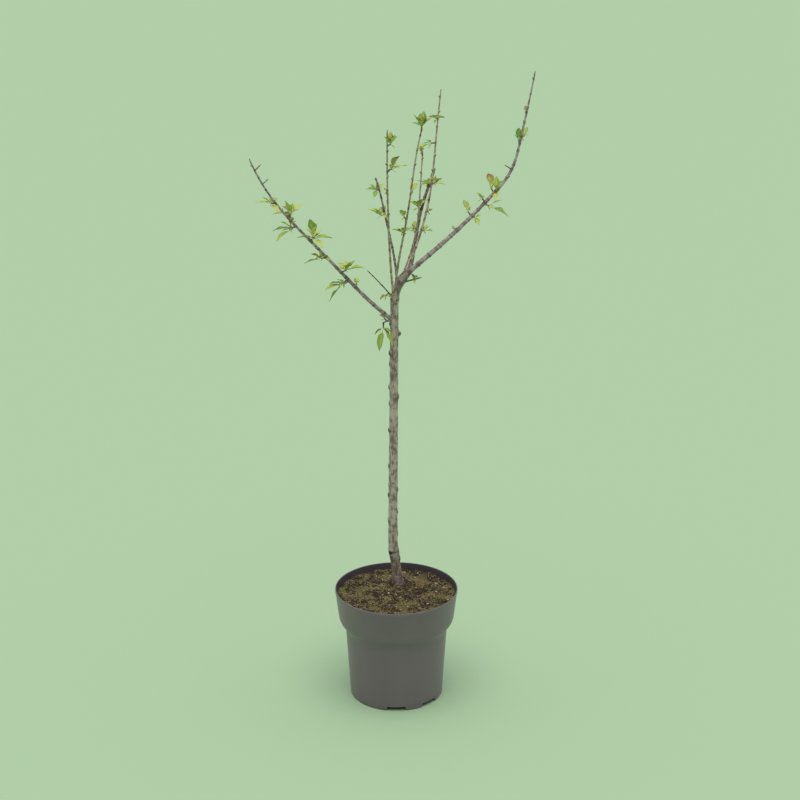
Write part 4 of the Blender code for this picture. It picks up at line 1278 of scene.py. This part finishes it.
# Kind of leaf: fold, wave, twist, fullness, the blade's two tones, rib, tip, where the tip's colour starts
KINDS = {
    "lime": ((0.30, 0.12, 0.10, 0.80), ("#B4C648", "#C6D65C"), "#D6E08C", "#C4BE58", 0.86),
    "bright": ((0.50, 0.08, -0.12, 0.85), ("#A0BA40", "#B6CB52"), "#CBD97E", "#A9A648", 0.88),
    "green": ((0.35, 0.20, 0.15, 0.75), ("#7CA23C", "#90B24A"), "#B3C871", "#8F9A40", 0.90),
    "mid": ((0.40, 0.15, -0.20, 0.82), ("#90AC3E", "#A5BD4C"), "#C0CF7A", "#A39B45", 0.84),
    "bronze": ((0.85, 0.10, 0.10, 0.90), ("#98933E", "#AFAE4C"), "#C2B972", "#96603A", 0.62),
}
DEAL = ("lime", "bright", "green", "lime", "mid", "bright", "lime", "mid", "bronze", "green", "bright")

# %% Deal out the leaves
SMALLEST_OPEN_LEAF = 18 * MM
LEAF_TRIM, LEAF_BREADTH = 0.955, 0.41
# Smaller leaves inside each spray: how far up and aside they turn from their neighbour, and their length
INNER_LEAVES = ((0.9, 0.5, 0.66), (0.3, -0.8, 0.50))
STIPULES, STIPULE_BREADTH, STIPULE_LEAN, STIPULE_TURN, STEEP = 3, 0.36, 0.9, 40, 0.9
spots = {kind: [] for kind in KINDS}
for spray, k, tip, direction, length in leaves:
    kind = DEAL[(spray * 3 + (k // 2)) % len(DEAL)] if length > SMALLEST_OPEN_LEAF else "bronze"
    spots[kind].append((tip, direction, LEAF_TRIM * length, length * LEAF_BREADTH))
    side = leaf_frame(direction)[0] * (1 if k % 2 else -1)
    for lift, aside, part in INNER_LEAVES:
        lean = (direction + UP * lift + side * aside).normalized()
        short = length * part
        kind = DEAL[(spray * 3 + k + 4) % len(DEAL)]
        spots[kind].append((tip, lean, short, short * LEAF_BREADTH * 0.9))
scale_rng = random.Random(21)
for _, root, out, reach, count in spurs:
    for k in range(STIPULES if count else 0):
        turn = math.radians(GOLDEN_ANGLE * k + STIPULE_TURN)
        beside = square_to(out, turn, UP if abs(out.z) < STEEP else RIGHT)
        lean = (out + beside * STIPULE_LEAN).normalized()
        length = scale_rng.uniform(6, 9 + 2 * min(count, 4)) * MM
        kind = "bronze" if k == 0 else "lime"
        spots[kind].append((root + out * (reach - 1.5 * MM), lean, length, length * STIPULE_BREADTH))
foliage = []
for kind, (bend, *finish) in KINDS.items():
    material = leaf_material("leaf_" + kind, *finish)
    foliage.append(grow("leaf_" + kind, spots[kind], blade_shape(*bend), material, LEAF_DROOP))
    print(kind, len(spots[kind]), "leaves")

# %% [markdown]
# The wood and the leaves are joined, each kind apart. The boughs stand for the solid model's boughs, and
# twigs and leaves together for its masses of foliage.

# %% Join the tree's pieces
masses = sorted(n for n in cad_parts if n.startswith("leaves_"))
limbs = sorted(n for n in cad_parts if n.startswith("bough_"))
boughs = joined(boughs, "boughs")
twigs = joined(twigs, "twigs")
foliage = joined(foliage, "leaves")
for piece, stands_for, slot in ((boughs, limbs, "bark"), (twigs, masses, "leaf"), (foliage, masses, "leaf")):
    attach(piece, "root")
    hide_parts(*stands_for)

# %% [markdown]
# Last, the finished pieces are measured.

# %% Measure and finish
low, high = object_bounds()
